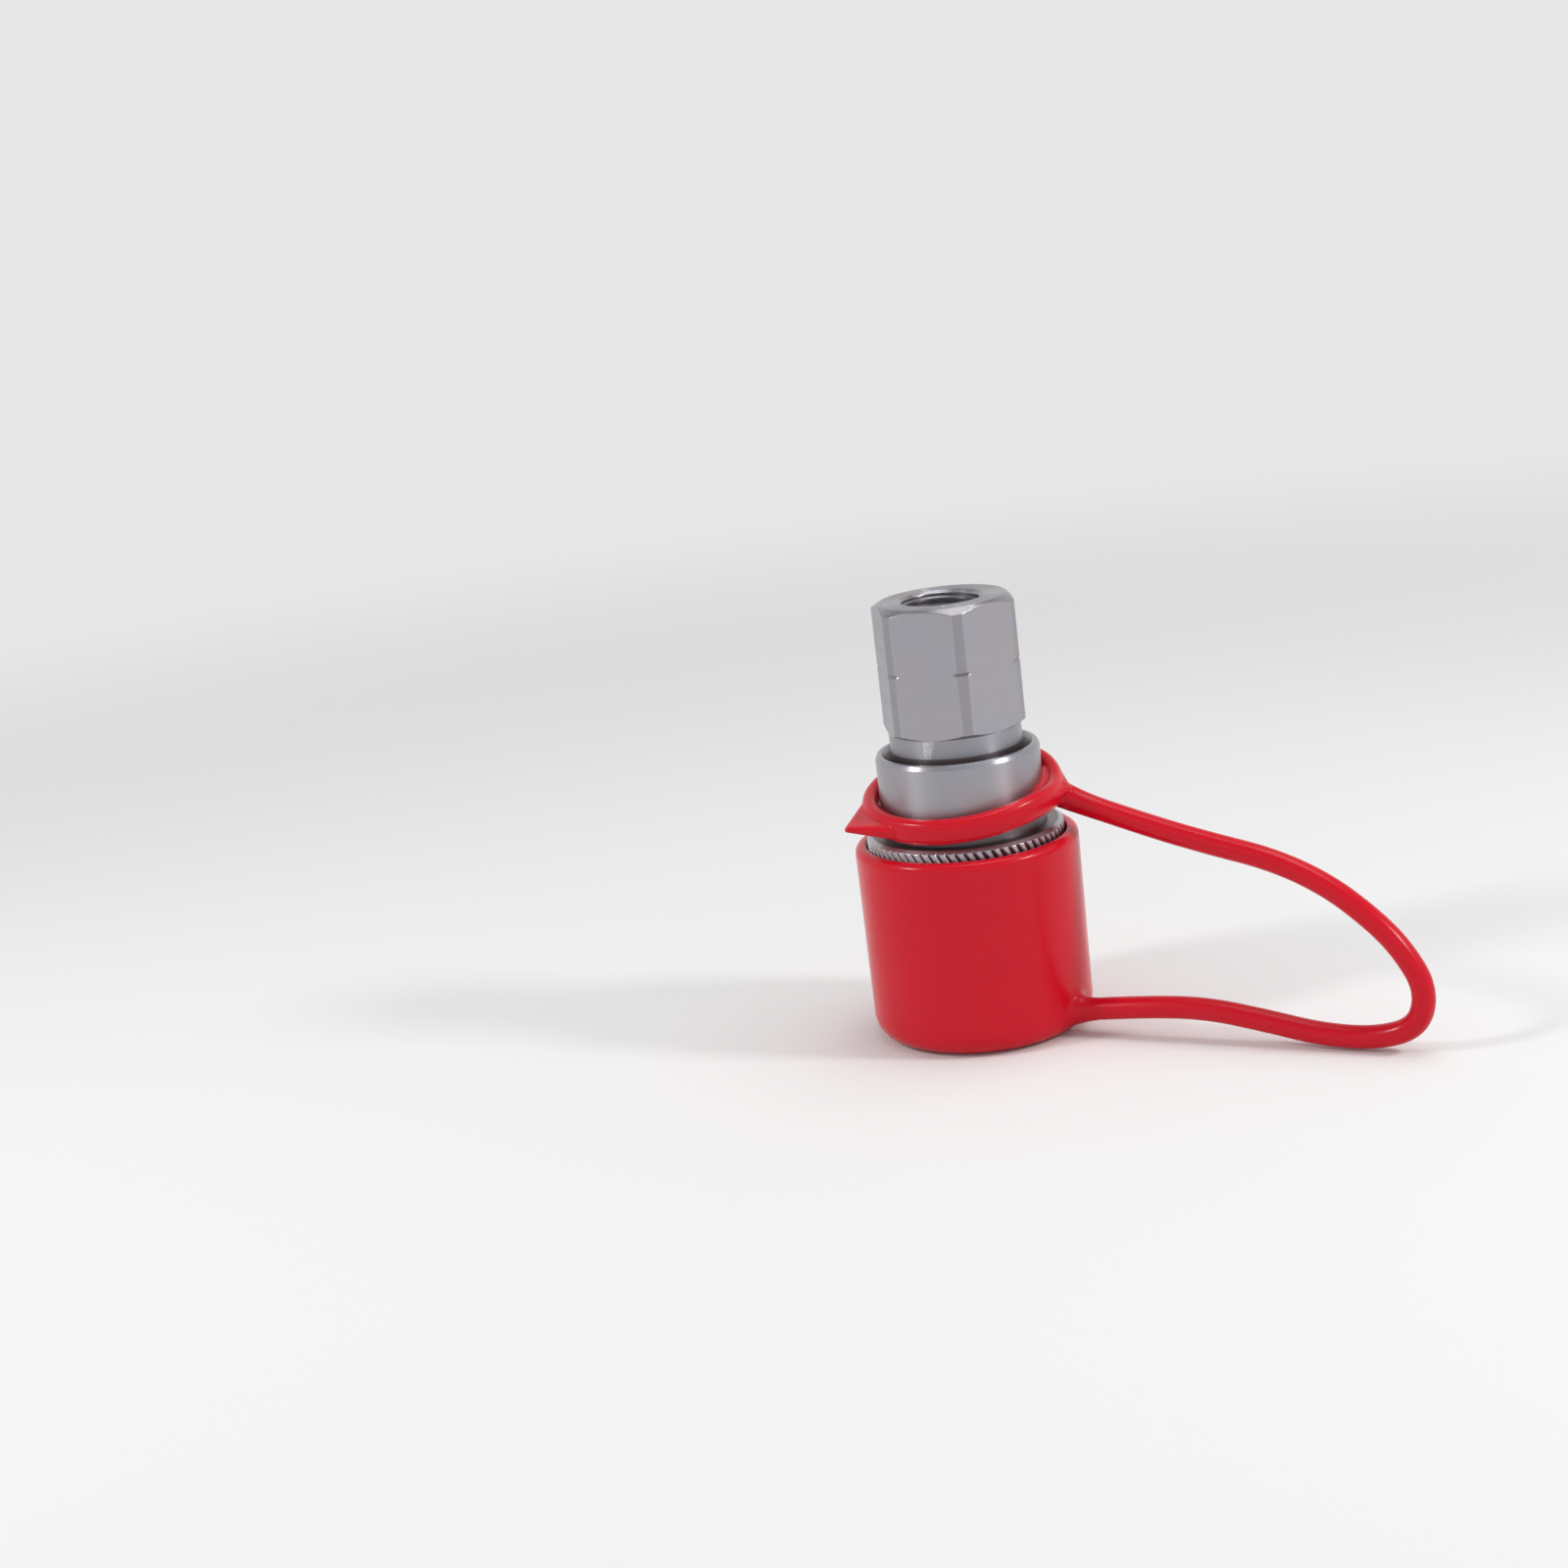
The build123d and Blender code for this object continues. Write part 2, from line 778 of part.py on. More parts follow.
# Stem spider: drilled disc against the end of the guide bore, the circlip that keeps
# it there and the nut that holds the stem to it.
with BuildPart() as stem_spider:
    with BuildSketch(Plane.XY.offset(spider_z)):
        Circle(guide_bore - seat_gap)
        Circle(stem_bore, mode=Mode.SUBTRACT)
        with PolarLocations(spider_hole_circle, spider_hole_count):
            Circle(spider_hole_radius, mode=Mode.SUBTRACT)
    extrude(amount=spider_thickness)
stem_spider.part.label = "stem_spider"
export_step(stem_spider.part, "parts/stem_spider.step")

with BuildPart() as spider_circlip:
    with BuildSketch(Plane.XY.offset(spider_z - circlip_thickness + seat_gap)):
        Circle(guide_bore + circlip_depth - groove_clearance)
        Circle(guide_bore - circlip_reach, mode=Mode.SUBTRACT)
        with Locations((guide_bore, 0)):
            Rectangle(guide_bore, circlip_gap, mode=Mode.SUBTRACT)
    extrude(amount=circlip_thickness - 2 * seat_gap)
spider_circlip.part.label = "spider_circlip"
export_step(spider_circlip.part, "parts/spider_circlip.step")

with BuildPart() as stem_nut:
    with BuildSketch(Plane.XY.offset(spider_seat)):
        RegularPolygon(nut_flats / 2, side_count=6, major_radius=False)
        Circle(stem_bore, mode=Mode.SUBTRACT)
    extrude(amount=nut_height)
stem_nut.part.label = "stem_nut"
export_step(stem_nut.part, "parts/stem_nut.step")
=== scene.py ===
# %% [markdown]
# A flat face hydraulic coupler, female half, stands port up in its red dust cap. The cap,
# its round strap and the ring about the body are one soft moulding, and the rest is turned
# and milled steel with bright zinc plating. The engineering model gives every piece its
# size and place. This script adds what the eye looks for: moulded fillets, broken edges,
# a real thread, tool marks, plating and soft plastic.

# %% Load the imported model
import math

import bmesh
import bpy
from mathutils import Matrix, Vector


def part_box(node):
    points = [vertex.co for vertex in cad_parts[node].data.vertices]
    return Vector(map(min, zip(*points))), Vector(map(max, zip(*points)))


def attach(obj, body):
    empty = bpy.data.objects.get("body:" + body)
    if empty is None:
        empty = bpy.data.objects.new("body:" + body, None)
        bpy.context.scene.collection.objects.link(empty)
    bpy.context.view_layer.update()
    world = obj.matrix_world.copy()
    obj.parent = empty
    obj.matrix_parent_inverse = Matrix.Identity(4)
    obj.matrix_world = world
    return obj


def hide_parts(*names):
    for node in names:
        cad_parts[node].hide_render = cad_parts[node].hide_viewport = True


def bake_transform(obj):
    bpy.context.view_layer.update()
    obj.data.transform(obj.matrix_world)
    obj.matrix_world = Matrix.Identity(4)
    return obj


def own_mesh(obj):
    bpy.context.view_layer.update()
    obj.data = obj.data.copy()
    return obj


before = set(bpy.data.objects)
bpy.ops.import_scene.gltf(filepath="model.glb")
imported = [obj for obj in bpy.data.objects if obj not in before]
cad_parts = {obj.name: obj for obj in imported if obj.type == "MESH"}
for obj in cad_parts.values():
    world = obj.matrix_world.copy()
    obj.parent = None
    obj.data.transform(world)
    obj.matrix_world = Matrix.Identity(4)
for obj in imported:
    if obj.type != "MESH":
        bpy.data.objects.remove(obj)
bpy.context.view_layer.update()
mm = 0.001

# %% Objects and points


def new_object(name, data):
    """Object in the scene, from its mesh, camera or lamp."""
    made = bpy.data.objects.new(name, data)
    bpy.context.scene.collection.objects.link(made)
    return made


def polar(reach, angle, height):
    """Point from its distance to the Z axis, its angle about it and its height."""
    return Vector((reach * math.cos(angle), reach * math.sin(angle), height))


# %% [markdown]
# The camera comes first, because every later choice is judged through it. It stands about
# half a metre away and 19 cm above the table, and it is turned and tilted a little, as a
# camera held in the hand is. A direction built from yaw, pitch and roll is easier to read
# and to correct than a quaternion.

# %% Camera
camera_distance = 535.7 * mm
camera_height = 187.4 * mm
camera_azimuth = math.radians(33)
camera_yaw = -0.067
camera_pitch = 0.241
camera_roll = -0.121
sensor_width = 36.0
lens = 61.92


def camera_axes():
    """Right, up and back of the camera, from its heading, pitch and roll."""
    heading = Matrix.Rotation(camera_azimuth - camera_yaw, 3, "Z")
    forward = heading @ Vector((0, math.cos(camera_pitch), -math.sin(camera_pitch)))
    level = heading @ Vector((1, 0, 0))
    top = level.cross(forward)
    right = level * math.cos(camera_roll) + top * math.sin(camera_roll)
    up = top * math.cos(camera_roll) - level * math.sin(camera_roll)
    return right, up, -forward


camera_data = bpy.data.cameras.new("camera")
camera_data.sensor_width = sensor_width
camera_data.lens = lens
camera_data.clip_start = 0.01
camera = new_object("camera", camera_data)
camera_turn = Matrix(camera_axes()).transposed().to_4x4()
camera_place = Vector((math.sin(camera_azimuth), -math.cos(camera_azimuth), 0)) * camera_distance
camera_place.z = camera_height
camera.matrix_world = Matrix.Translation(camera_place) @ camera_turn
bpy.context.scene.camera = camera
print("camera at", [round(x, 3) for x in camera_place])

# %% [markdown]
# Every made piece is worked out in millimetres as rings of points, because turned and
# moulded parts are described that way on a drawing. One helper joins rings by faces, one
# makes the object. Weighted normals let large faces stay flat while small rounds between
# them carry the shading.

# %% Mesh helpers
merge_distance = 0.002 * mm
sharp_angle = math.radians(42)
flat_weight = 60


def make_piece(name, points, faces):
    """Object from points in millimetres, with doubles merged and normals outwards."""
    mesh = bpy.data.meshes.new(name)
    mesh.from_pydata([Vector(point) * mm for point in points], [], faces)
    work = bmesh.new()
    work.from_mesh(mesh)
    bmesh.ops.remove_doubles(work, verts=work.verts, dist=merge_distance)
    bmesh.ops.recalc_face_normals(work, faces=work.faces)
    work.to_mesh(mesh)
    work.free()
    mesh.shade_smooth()
    mesh.set_sharp_from_angle(angle=sharp_angle)
    piece = new_object(name, mesh)
    weighted = piece.modifiers.new("weighted_normals", "WEIGHTED_NORMAL")
    weighted.weight = flat_weight
    weighted.keep_sharp = True
    print(name, "faces", len(mesh.polygons))
    return piece


def join_rings(ring, new):
    """Quads between two closed rings of points, given by their numbers."""
    count = len(ring)
    return [(ring[k], ring[(k + 1) % count], new[(k + 1) % count], new[k]) for k in range(count)]


def tube_points(path, radius, sides, section=None):
    """Rings of a round bar along a path. The section may change its radius by the angle."""
    points = []
    side = None
    for k, centre in enumerate(path):
        ahead = path[min(k + 1, len(path) - 1)] - path[max(k - 1, 0)]
        ahead.normalize()
        side = ahead.orthogonal() if side is None else side - ahead * side.dot(ahead)
        side.normalize()
        other = ahead.cross(side)
        size = radius[k] if hasattr(radius, "__len__") else radius
        for s in range(sides):
            angle = math.tau * s / sides
            reach = size + (section(angle) if section else 0)
            points.append(centre + (side * math.cos(angle) + other * math.sin(angle)) * reach)
    return points


def tube_faces(rings, sides, first=0):
    """Faces of a round bar with both ends closed."""
    loops = [range(first + k * sides, first + (k + 1) * sides) for k in range(rings)]
    faces = []
    for ring, new in zip(loops, loops[1:]):
        faces += join_rings(ring, new)
    return faces + [tuple(loops[0]), tuple(loops[-1])]


# %% [markdown]
# The strap is the moulded cord that ties the ring to the cap. Its route is a short list of
# places in space, and a smooth curve of order three runs near them, as a springy cord does.
# A plain curve with a bevel would be enough for a cable, but this cord has a fine parting
# line on both sides from its mould, so its points are read from the curve and a section
# with two small ridges follows them. Both ends are tucked a little into the pieces that
# they grow out of, so that no seam shows.

# %% Tether strap
strap_diameter = 4.6
strap_route = [
    (27.0, 0.5, 5.4),
    (38.0, 1.8, 6.5),
    (50.0, 3.4, 6.8),
    (62.0, 4.9, 4.9),
    (73.0, 6.3, 2.7),
    (84.0, 7.7, 2.5),
    (92.3, 8.6, 5.4),
    (94.0, 9.3, 13.0),
    (89.6, 9.3, 20.6),
    (84.0, 9.2, 26.2),
    (75.2, 9.1, 32.5),
    (64.0, 9.1, 36.9),
    (50.5, 9.0, 39.4),
    (38.5, 8.8, 42.1),
    (27.1, 8.8, 45.1),
]
strap_sides = 48
route_steps = 14
strap_tuck = 0.4
parting_ridge = 0.07
parting_width = math.radians(9)


def smooth_route(route, steps):
    """Points along the smooth curve that has the route as its control points."""
    curve = bpy.data.curves.new("route", "CURVE")
    curve.dimensions = "3D"
    curve.resolution_u = steps
    spline = curve.splines.new("NURBS")
    spline.points.add(len(route) - 1)
    for point, place in zip(spline.points, route):
        point.co = (*place, 1)
    spline.order_u = 3
    spline.use_endpoint_u = True
    holder = bpy.data.objects.new("route", curve)
    mesh = bpy.data.meshes.new_from_object(holder)
    points = [vertex.co.copy() for vertex in mesh.vertices]
    bpy.data.objects.remove(holder)
    bpy.data.curves.remove(curve)
    bpy.data.meshes.remove(mesh)
    return points


def parting_line(angle):
    """Height of the mould's parting ridge, on both sides of the section."""
    off = min(abs(math.remainder(angle - seam, math.tau)) for seam in (0, math.pi))
    return parting_ridge * max(0, 1 - off / parting_width)


strap_path = smooth_route(strap_route, route_steps)
strap_out = (Vector(strap_route[1]) - Vector(strap_route[0])).normalized()
strap_in = (Vector(strap_route[-1]) - Vector(strap_route[-2])).normalized()
strap_foot = strap_path[0] - strap_out * strap_tuck
strap_head = strap_path[-1] + strap_in * strap_tuck
strap_skin = [strap_foot, *strap_path, strap_head]
strap = make_piece(
    "strap",
    tube_points(strap_skin, strap_diameter / 2, strap_sides, parting_line),
    tube_faces(len(strap_skin), strap_sides),
)

# %% [markdown]
# Turned and moulded pieces share one idea: a list of corners, each with the radius that
# breaks it. Real parts have no sharp edges, and a round of a quarter of a millimetre is
# what catches the light. The helper replaces each corner by an arc with a fixed number of
# steps, so that neighbouring sections always have matching points.

# %% Rounded corners
arc_steps = 4
nearly_straight = math.pi / 2 - 0.01


def round_off(corners):
    """Corners (radius, height, round) as points, each rounded corner as a short arc."""
    points = []
    for k, corner in enumerate(corners):
        here = Vector(corner[:2])
        size = corner[2] if len(corner) > 2 else 0
        if not size or k in (0, len(corners) - 1):
            points.append(here)
            continue
        back = (Vector(corners[k - 1][:2]) - here).normalized()
        on = (Vector(corners[k + 1][:2]) - here).normalized()
        half = back.angle(on) / 2
        if half > nearly_straight:
            points += [here] * (arc_steps + 1)
            continue
        centre = here + (back + on).normalized() * size / math.sin(half)
        start = here + back * size / math.tan(half) - centre
        end = here + on * size / math.tan(half) - centre
        turn = start.angle_signed(end)
        for step in range(arc_steps + 1):
            spin = Matrix.Rotation(-turn * step / arc_steps, 2)
            points.append(centre + spin @ start)
    return points


# %% [markdown]
# The dust cap is a moulded cup. A plain lathe form would do for the cup alone, but the
# strap grows out of its foot with a flared root, and that joint is the first thing one
# sees. So a patch of the wall is opened, its edge is drawn into a neat oval, and rings of
# the same points lead from the wall out to the strap. Wall and root are then one skin, as
# in the mould.

# %% Dust cap
cap_floor = 3.7
cap_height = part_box("dust_cap")[1].z / mm
cap_bore = 20.55
cap_radius = 23.0
cap_base_radius = 22.7
cap_base_round = 4.7
cap_rim_round = 1.6
cap_lip_round = 0.6
cap_inner_round = 1.2
cap_columns = 224
cap_spacing = 0.8
plain_rim = 2.0
root_hole = 4.5
root_hole_rise = 0.7
root_reach = (-14.0, 4.0)
root_patch = (10.0, 12.0)
root_shoulder = 3.0
root_neck = 2.5
root_neck_back = 2.4
root_rings = 12
root_tuck = 0.8
root_taper = 0.05
halvings = 40
edge_rounds = 30

cap_corners = [
    (0, 0),
    (cap_base_radius, 0, cap_base_round),
    (cap_radius, cap_height, cap_rim_round),
    (cap_bore, cap_height, cap_lip_round),
    (cap_bore, cap_floor, cap_inner_round),
    (0, cap_floor),
]
print("cap", round(cap_height, 1), "high and", 2 * cap_radius, "across")

# %% Dust cap: outline and root


def dense_outline(corners, spacing, top):
    """Rounded outline with extra points on its straight stretches below a height."""
    points = round_off(corners)
    dense = []
    for a, b in zip(points, points[1:]):
        steps = max(1, int((b - a).length / spacing)) if min(a.y, b.y) < top else 1
        dense += [a.lerp(b, step / steps) for step in range(steps)]
    return dense + [points[-1]]


dense_top = cap_height - plain_rim
cap_outline = dense_outline(cap_corners, cap_spacing, dense_top)
outer_wall = cap_outline[: next(k for k, p in enumerate(cap_outline) if p.y > dense_top)]


def wall_radius(height):
    """Outer radius of the cap at a height."""
    for a, b in zip(outer_wall, outer_wall[1:]):
        if a.y <= height <= b.y and b.y > a.y:
            return a.x + (b.x - a.x) * (height - a.y) / (b.y - a.y)
    return outer_wall[0].x


root_end = Vector(strap_route[0])
root_axis = strap_out
root_side = Vector((0, 0, 1)).cross(root_axis).normalized()
root_up = root_axis.cross(root_side)


def around_root(reach, angle, along):
    """Point beside the root's axis: distance from it, angle about it, place along it."""
    beside = root_side * math.cos(angle) + root_up * math.sin(angle)
    return root_end + beside * reach + root_axis * along


def on_wall(reach, angle):
    """Point of the cap's outer wall at a distance from the root's axis."""
    near, far = root_reach
    for _ in range(halvings):
        middle = (near + far) / 2
        point = around_root(reach, angle, middle)
        if math.hypot(point.x, point.y) < wall_radius(point.z):
            near = middle
        else:
            far = middle
    return around_root(reach, angle, near)


def hole_reach(angle):
    """Half width of the opened patch, a little taller above the root than below."""
    return root_hole + root_hole_rise * math.sin(angle)


def root_angle(point):
    """Angle of a point about the root's axis and its distance from that axis."""
    off = point - root_end
    reach = (off - root_axis * off.dot(root_axis)).length
    return math.atan2(off.dot(root_up), off.dot(root_side)), reach


def even_angles(angles):
    """Angles round a closed loop, unwound and smoothed until their steps are even."""
    count = len(angles)
    for k in range(1, count):
        angles[k] = angles[k - 1] + math.remainder(angles[k] - angles[k - 1], math.tau)
    whole = math.copysign(math.tau, angles[-1] - angles[0])
    for _ in range(edge_rounds):
        before = [angles[-1] - whole] + angles[:-1]
        after = angles[1:] + [angles[0] + whole]
        angles = [(low + 2 * middle + high) / 4 for low, middle, high in zip(before, angles, after)]
    return angles


def root_curve(angle, t):
    """Point on the way from the opened patch out to the strap, at a share of that way."""
    p0 = on_wall(hole_reach(angle), angle)
    p1 = on_wall(root_shoulder, angle)
    p2 = around_root(root_neck, angle, -root_neck_back)
    p3 = around_root(strap_diameter / 2 + root_taper / 2, angle, 0)
    return p0 * (1 - t) ** 3 + p1 * 3 * t * (1 - t) ** 2 + p2 * 3 * t * t * (1 - t) + p3 * t**3


# %% Dust cap: one skin


def make_cap():
    """Cup and flared root as one closed skin."""
    size = len(cap_outline)
    points = []
    for column in range(cap_columns):
        angle = math.tau * column / cap_columns
        points += [polar(p.x, angle, p.y) for p in cap_outline]

    def opened(index):
        point = points[index]
        outside = index % size < len(outer_wall) and point.x > root_patch[0]
        angle, reach = root_angle(point)
        return outside and abs(point.y) < root_patch[1] and reach < hole_reach(angle)

    faces = []
    open_edges = {}
    for column in range(cap_columns):
        beside = (column + 1) % cap_columns
        for k in range(size - 1):
            here, there = column * size + k, beside * size + k
            quad = (here, there, there + 1, here + 1)
            if not any(opened(index) for index in quad):
                faces.append(quad)
                continue
            for a, b in zip(quad, quad[1:] + quad[:1]):
                open_edges[(a, b)] = True
    rim_edges = {a: b for a, b in open_edges if (b, a) not in open_edges}
    start = next(iter(rim_edges))
    loop = [start]
    while rim_edges[loop[-1]] != start:
        loop.append(rim_edges[loop[-1]])
    angles = even_angles([root_angle(points[index])[0] for index in loop])
    count = len(loop)
    for index, angle in zip(loop, angles):
        points[index] = on_wall(hole_reach(angle), angle)
    ring = loop
    for step in range(1, root_rings + 1):
        new = list(range(len(points), len(points) + count))
        points += [root_curve(angle, step / root_rings) for angle in angles]
        faces += join_rings(ring, new)
        ring = new
    new = list(range(len(points), len(points) + count))
    points += [around_root(strap_diameter / 2 - root_taper, angle, root_tuck) for angle in angles]
    faces += [*join_rings(ring, new), tuple(new)]
    return make_piece("cap", points, faces)


cap = make_cap()

# %% [markdown]
# The ring that hangs about the body is a round cord bent into a hoop, with a pointed pull
# tab on one side and a lug that leads into the strap on the other. In the mould all of
# these run into each other with soft fillets. Joining rough solids, remeshing them finely
# and smoothing the result gives just such fillets, with no need to model each one.

# %% Tether ring
ring_radius = 19.15
ring_width = 3.5
ring_depth = 5.3
ring_height = 50.0
ring_offset = 0.35
ring_tilt = math.radians(10)
ring_uphill = math.radians(95)
ring_squareness = 2.5
ring_columns = 180
ring_sides = 40
ring_dip = 1.3
ring_dip_spread = math.radians(25)
ring_pull = 0.45
ring_thinning = 0.6
ring_pull_angle = math.radians(75)
ring_pull_spread = math.radians(40)
junction_angle = math.radians(22)
junction_drop = 1.0
lug_steps = 24
lug_sides = 32
lug_flare = 0.5
ball_steps = 3
tab_balls = [
    (26.75, -120.5, 0.6, 1.4),
    (19.6, -154, 1.3, 0.0),
    (19.6, -104, 1.6, -0.3),
    (22.6, -124, 1.2, 0.4),
]
corner_balls = [
    (22.0, 18, 0.6, 0.0),
    (19.2, -14, 1.5, 0.0),
    (19.2, 50, 1.5, 0.0),
]
ring_voxel = 0.21
ring_smoothing = 8
ring_middle = polar(ring_offset, junction_angle, ring_height)
print("ring middle", [round(part, 2) for part in ring_middle])

# %% Tether ring: where the hoop runs


def bell(angle, middle, spread):
    """One at the middle angle, falling softly to nothing on both sides."""
    return math.exp(-((math.remainder(angle - middle, math.tau) / spread) ** 2))


def sag(angle):
    """How far the strap's weight pulls the ring down at an angle."""
    return ring_dip * bell(angle, junction_angle, ring_dip_spread)


def ring_point(reach, angle, lift=0.0):
    """Point beside the tilted ring, from its distance to the ring's middle and its angle in plan."""
    rise = reach * math.tan(ring_tilt) * math.cos(angle - ring_uphill) - sag(angle)
    return ring_middle + polar(reach, angle, rise + lift)


def rounded(value):
    """Share of the half width at a share of the turn, for a section between oval and square."""
    return math.copysign(abs(value) ** (2 / ring_squareness), value)


def torus_parts():
    """Points and faces of the hoop, whose section is oval."""
    points, faces = [], []
    tilt_axis = Vector((-math.sin(ring_uphill), math.cos(ring_uphill), 0))
    tilt = Matrix.Rotation(-ring_tilt, 3, tilt_axis)
    for column in range(ring_columns):
        angle = math.tau * column / ring_columns
        pulled = bell(angle, ring_pull_angle, ring_pull_spread)
        half_width = (ring_width - ring_thinning * pulled) / 2
        for s in range(ring_sides):
            around = math.tau * s / ring_sides
            reach = ring_radius - ring_pull * pulled + half_width * rounded(math.cos(around))
            height = ring_depth / 2 * rounded(math.sin(around))
            flat = polar(reach, angle, height)
            points.append(ring_middle + tilt @ flat - Vector((0, 0, sag(angle))))
    for column in range(ring_columns):
        here = column * ring_sides
        beside = (column + 1) % ring_columns * ring_sides
        for s in range(ring_sides):
            after = (s + 1) % ring_sides
            faces.append((here + s, beside + s, beside + after, here + after))
    return points, faces


# %% Tether ring: tab, lug and one skin


def add_hull(work, balls):
    """Convex skin about several balls, each given as its centre and radius."""
    hull = bmesh.new()
    for centre, radius in balls:
        place = Matrix.Translation(centre)
        bmesh.ops.create_icosphere(hull, subdivisions=ball_steps, radius=radius, matrix=place)
    skin = bmesh.ops.convex_hull(hull, input=hull.verts[:])
    hidden = set(skin["geom_interior"] + skin["geom_unused"])
    bmesh.ops.delete(hull, geom=[v for v in hull.verts if v in hidden], context="VERTS")
    mesh = bpy.data.meshes.new("hull")
    hull.to_mesh(mesh)
    hull.free()
    work.from_mesh(mesh)
    bpy.data.meshes.remove(mesh)


def lug_parts(first):
    """Points and faces of the lug that leads from the strap's head into the hoop."""
    strap_end = Vector(strap_route[-1])
    bend = strap_end + strap_in * strap_diameter
    lug_end = ring_point(ring_radius, junction_angle, -junction_drop)
    lug = [strap_end - strap_in * root_tuck]
    flare = [strap_diameter / 2 - root_taper]
    for step in range(lug_steps + 1):
        t = step / lug_steps
        lug.append(strap_end * (1 - t) ** 2 + bend * 2 * t * (1 - t) + lug_end * t * t)
        flare.append(strap_diameter / 2 + root_taper + lug_flare * t * t)
    return tube_points(lug, flare, lug_sides), tube_faces(len(lug), lug_sides, first)


def make_ring():
    """Hoop, pull tab and lug joined into one moulded skin."""
    points, faces = torus_parts()
    lug_points, lug_faces = lug_parts(len(points))
    points += lug_points
    faces += lug_faces
    mesh = bpy.data.meshes.new("ring")
    mesh.from_pydata(points, [], faces)
    work = bmesh.new()
    work.from_mesh(mesh)
    for balls in (tab_balls, corner_balls):
        add_hull(work, [
            (ring_point(reach, math.radians(degrees), lift), size)
            for reach, degrees, size, lift in balls
        ])
    bmesh.ops.recalc_face_normals(work, faces=work.faces)
    bmesh.ops.scale(work, vec=(mm, mm, mm), verts=work.verts)
    work.to_mesh(mesh)
    work.free()
    piece = new_object("ring", mesh)
    remesh = piece.modifiers.new("remesh", "REMESH")
    remesh.mode = "VOXEL"
    remesh.voxel_size = ring_voxel * mm
    remesh.use_smooth_shade = True
    soften = piece.modifiers.new("soften", "SMOOTH")
    soften.factor = 0.5
    soften.iterations = ring_smoothing
    bpy.context.view_layer.update()
    graph = bpy.context.evaluated_depsgraph_get()
    done = bpy.data.meshes.new_from_object(piece.evaluated_get(graph))
    piece.modifiers.clear()
    piece.data = done
    done.name = "ring"
    done.shade_smooth()
    print("ring faces", len(done.polygons))
    return piece


ring = make_ring()

# %% [markdown]
# The end adapter carries the hexagon and the port. Its hexagon is turned down at the
# corners, chamfered at both ends and marked by a fine groove at half height. The outline
# of such a piece changes with the angle, so every column of points works out its own
# section from the wall radius at that angle. The port's thread is cut by rows that climb
# with the pitch, which keeps crest and root crisp with few faces.

# %% End adapter: sizes
adapter_z = 42.0
adapter_nose = 13.0
adapter_seat_z = 46.0
adapter_thread = 13.95
adapter_neck = 13.5
neck_z = 57.0
hex_z = 64.0
port_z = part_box("end_adapter")[1].z / mm
hex_apothem = 13.5
hex_corner = 14.95
hex_turn = math.radians(43)
hex_top = 12.9
hex_slope = math.tan(math.radians(30))
hex_edge_round = 0.7
tick_floor = 14.65
tick_edge = 0.12
guide_bore = 8.2
spider_seat = 61.5
flow_radius = 6.9
circlip_groove = (8.9, 58.5, 57.4)
guide_groove = (10.1, 47.9, 45.3)
seal_groove = (11.5, 42.9, 44.7)
base_lift = 0.02
port_minor = 7.475
port_major = 8.331
port_mouth = 8.7
port_bottom = port_z - 14.5
thread_pitch = 1.337
mouth_slope = 1.5
mouth_bevel = 0.2
thread_top = port_z - mouth_bevel
print("hexagon", round(port_z - hex_z, 1), "high and", 2 * hex_apothem, "across its flats")

# %% End adapter: hexagon wall
flat_steps = 9
edge_steps = 4
corner_steps = 2
round_x = hex_apothem - hex_edge_round
round_y = math.sqrt((hex_corner - hex_edge_round) ** 2 - round_x**2)
round_start = math.atan2(round_y, hex_apothem)
round_stop = math.atan2(round_y, round_x)


def hex_wall(angle):
    """Wall radius of the hexagon at an angle, with turned corners and broken edges."""
    off = abs(math.remainder(angle - hex_turn, math.tau / 6))
    if off <= round_start:
        return hex_apothem / math.cos(off)
    if off >= round_stop:
        return hex_corner
    centre = math.hypot(round_x, round_y)
    lean = off - math.atan2(round_y, round_x)
    return centre * math.cos(lean) + math.sqrt(hex_edge_round**2 - (centre * math.sin(lean)) ** 2)


def even_steps(low, high, count):
    """Angles after the low one, up to the high one."""
    return [low + (high - low) * step / count for step in range(1, count + 1)]


def hex_columns():
    """Angles of the columns: closer together where the wall turns a corner."""
    flat = [0.0] + even_steps(0.0, round_start, flat_steps)
    edge = even_steps(round_start, round_stop, edge_steps)
    half = flat + edge + even_steps(round_stop, math.pi / 6, corner_steps)
    side = [-angle for angle in reversed(half[1:-1])] + half
    return [hex_turn + math.tau * k / 6 + angle for k in range(6) for angle in side]


print("hexagon edge from", round(math.degrees(round_start), 2), "to", round(math.degrees(round_stop), 2))

# %% End adapter: section and thread
thread_fine = 3
thread_form = [(0.0, 0.0), (0.13, 0.0), (0.44, 1.0), (0.56, 1.0), (0.87, 0.0), (1.0, 0.0)]
thread_fade = 1.5 * thread_pitch
thread_start = 0.4


def groove(wall, floor, start, end):
    """Corners of a square groove, in the order in which the outline meets them."""
    return [(wall, start), (floor, start), (floor, end), (wall, end)]


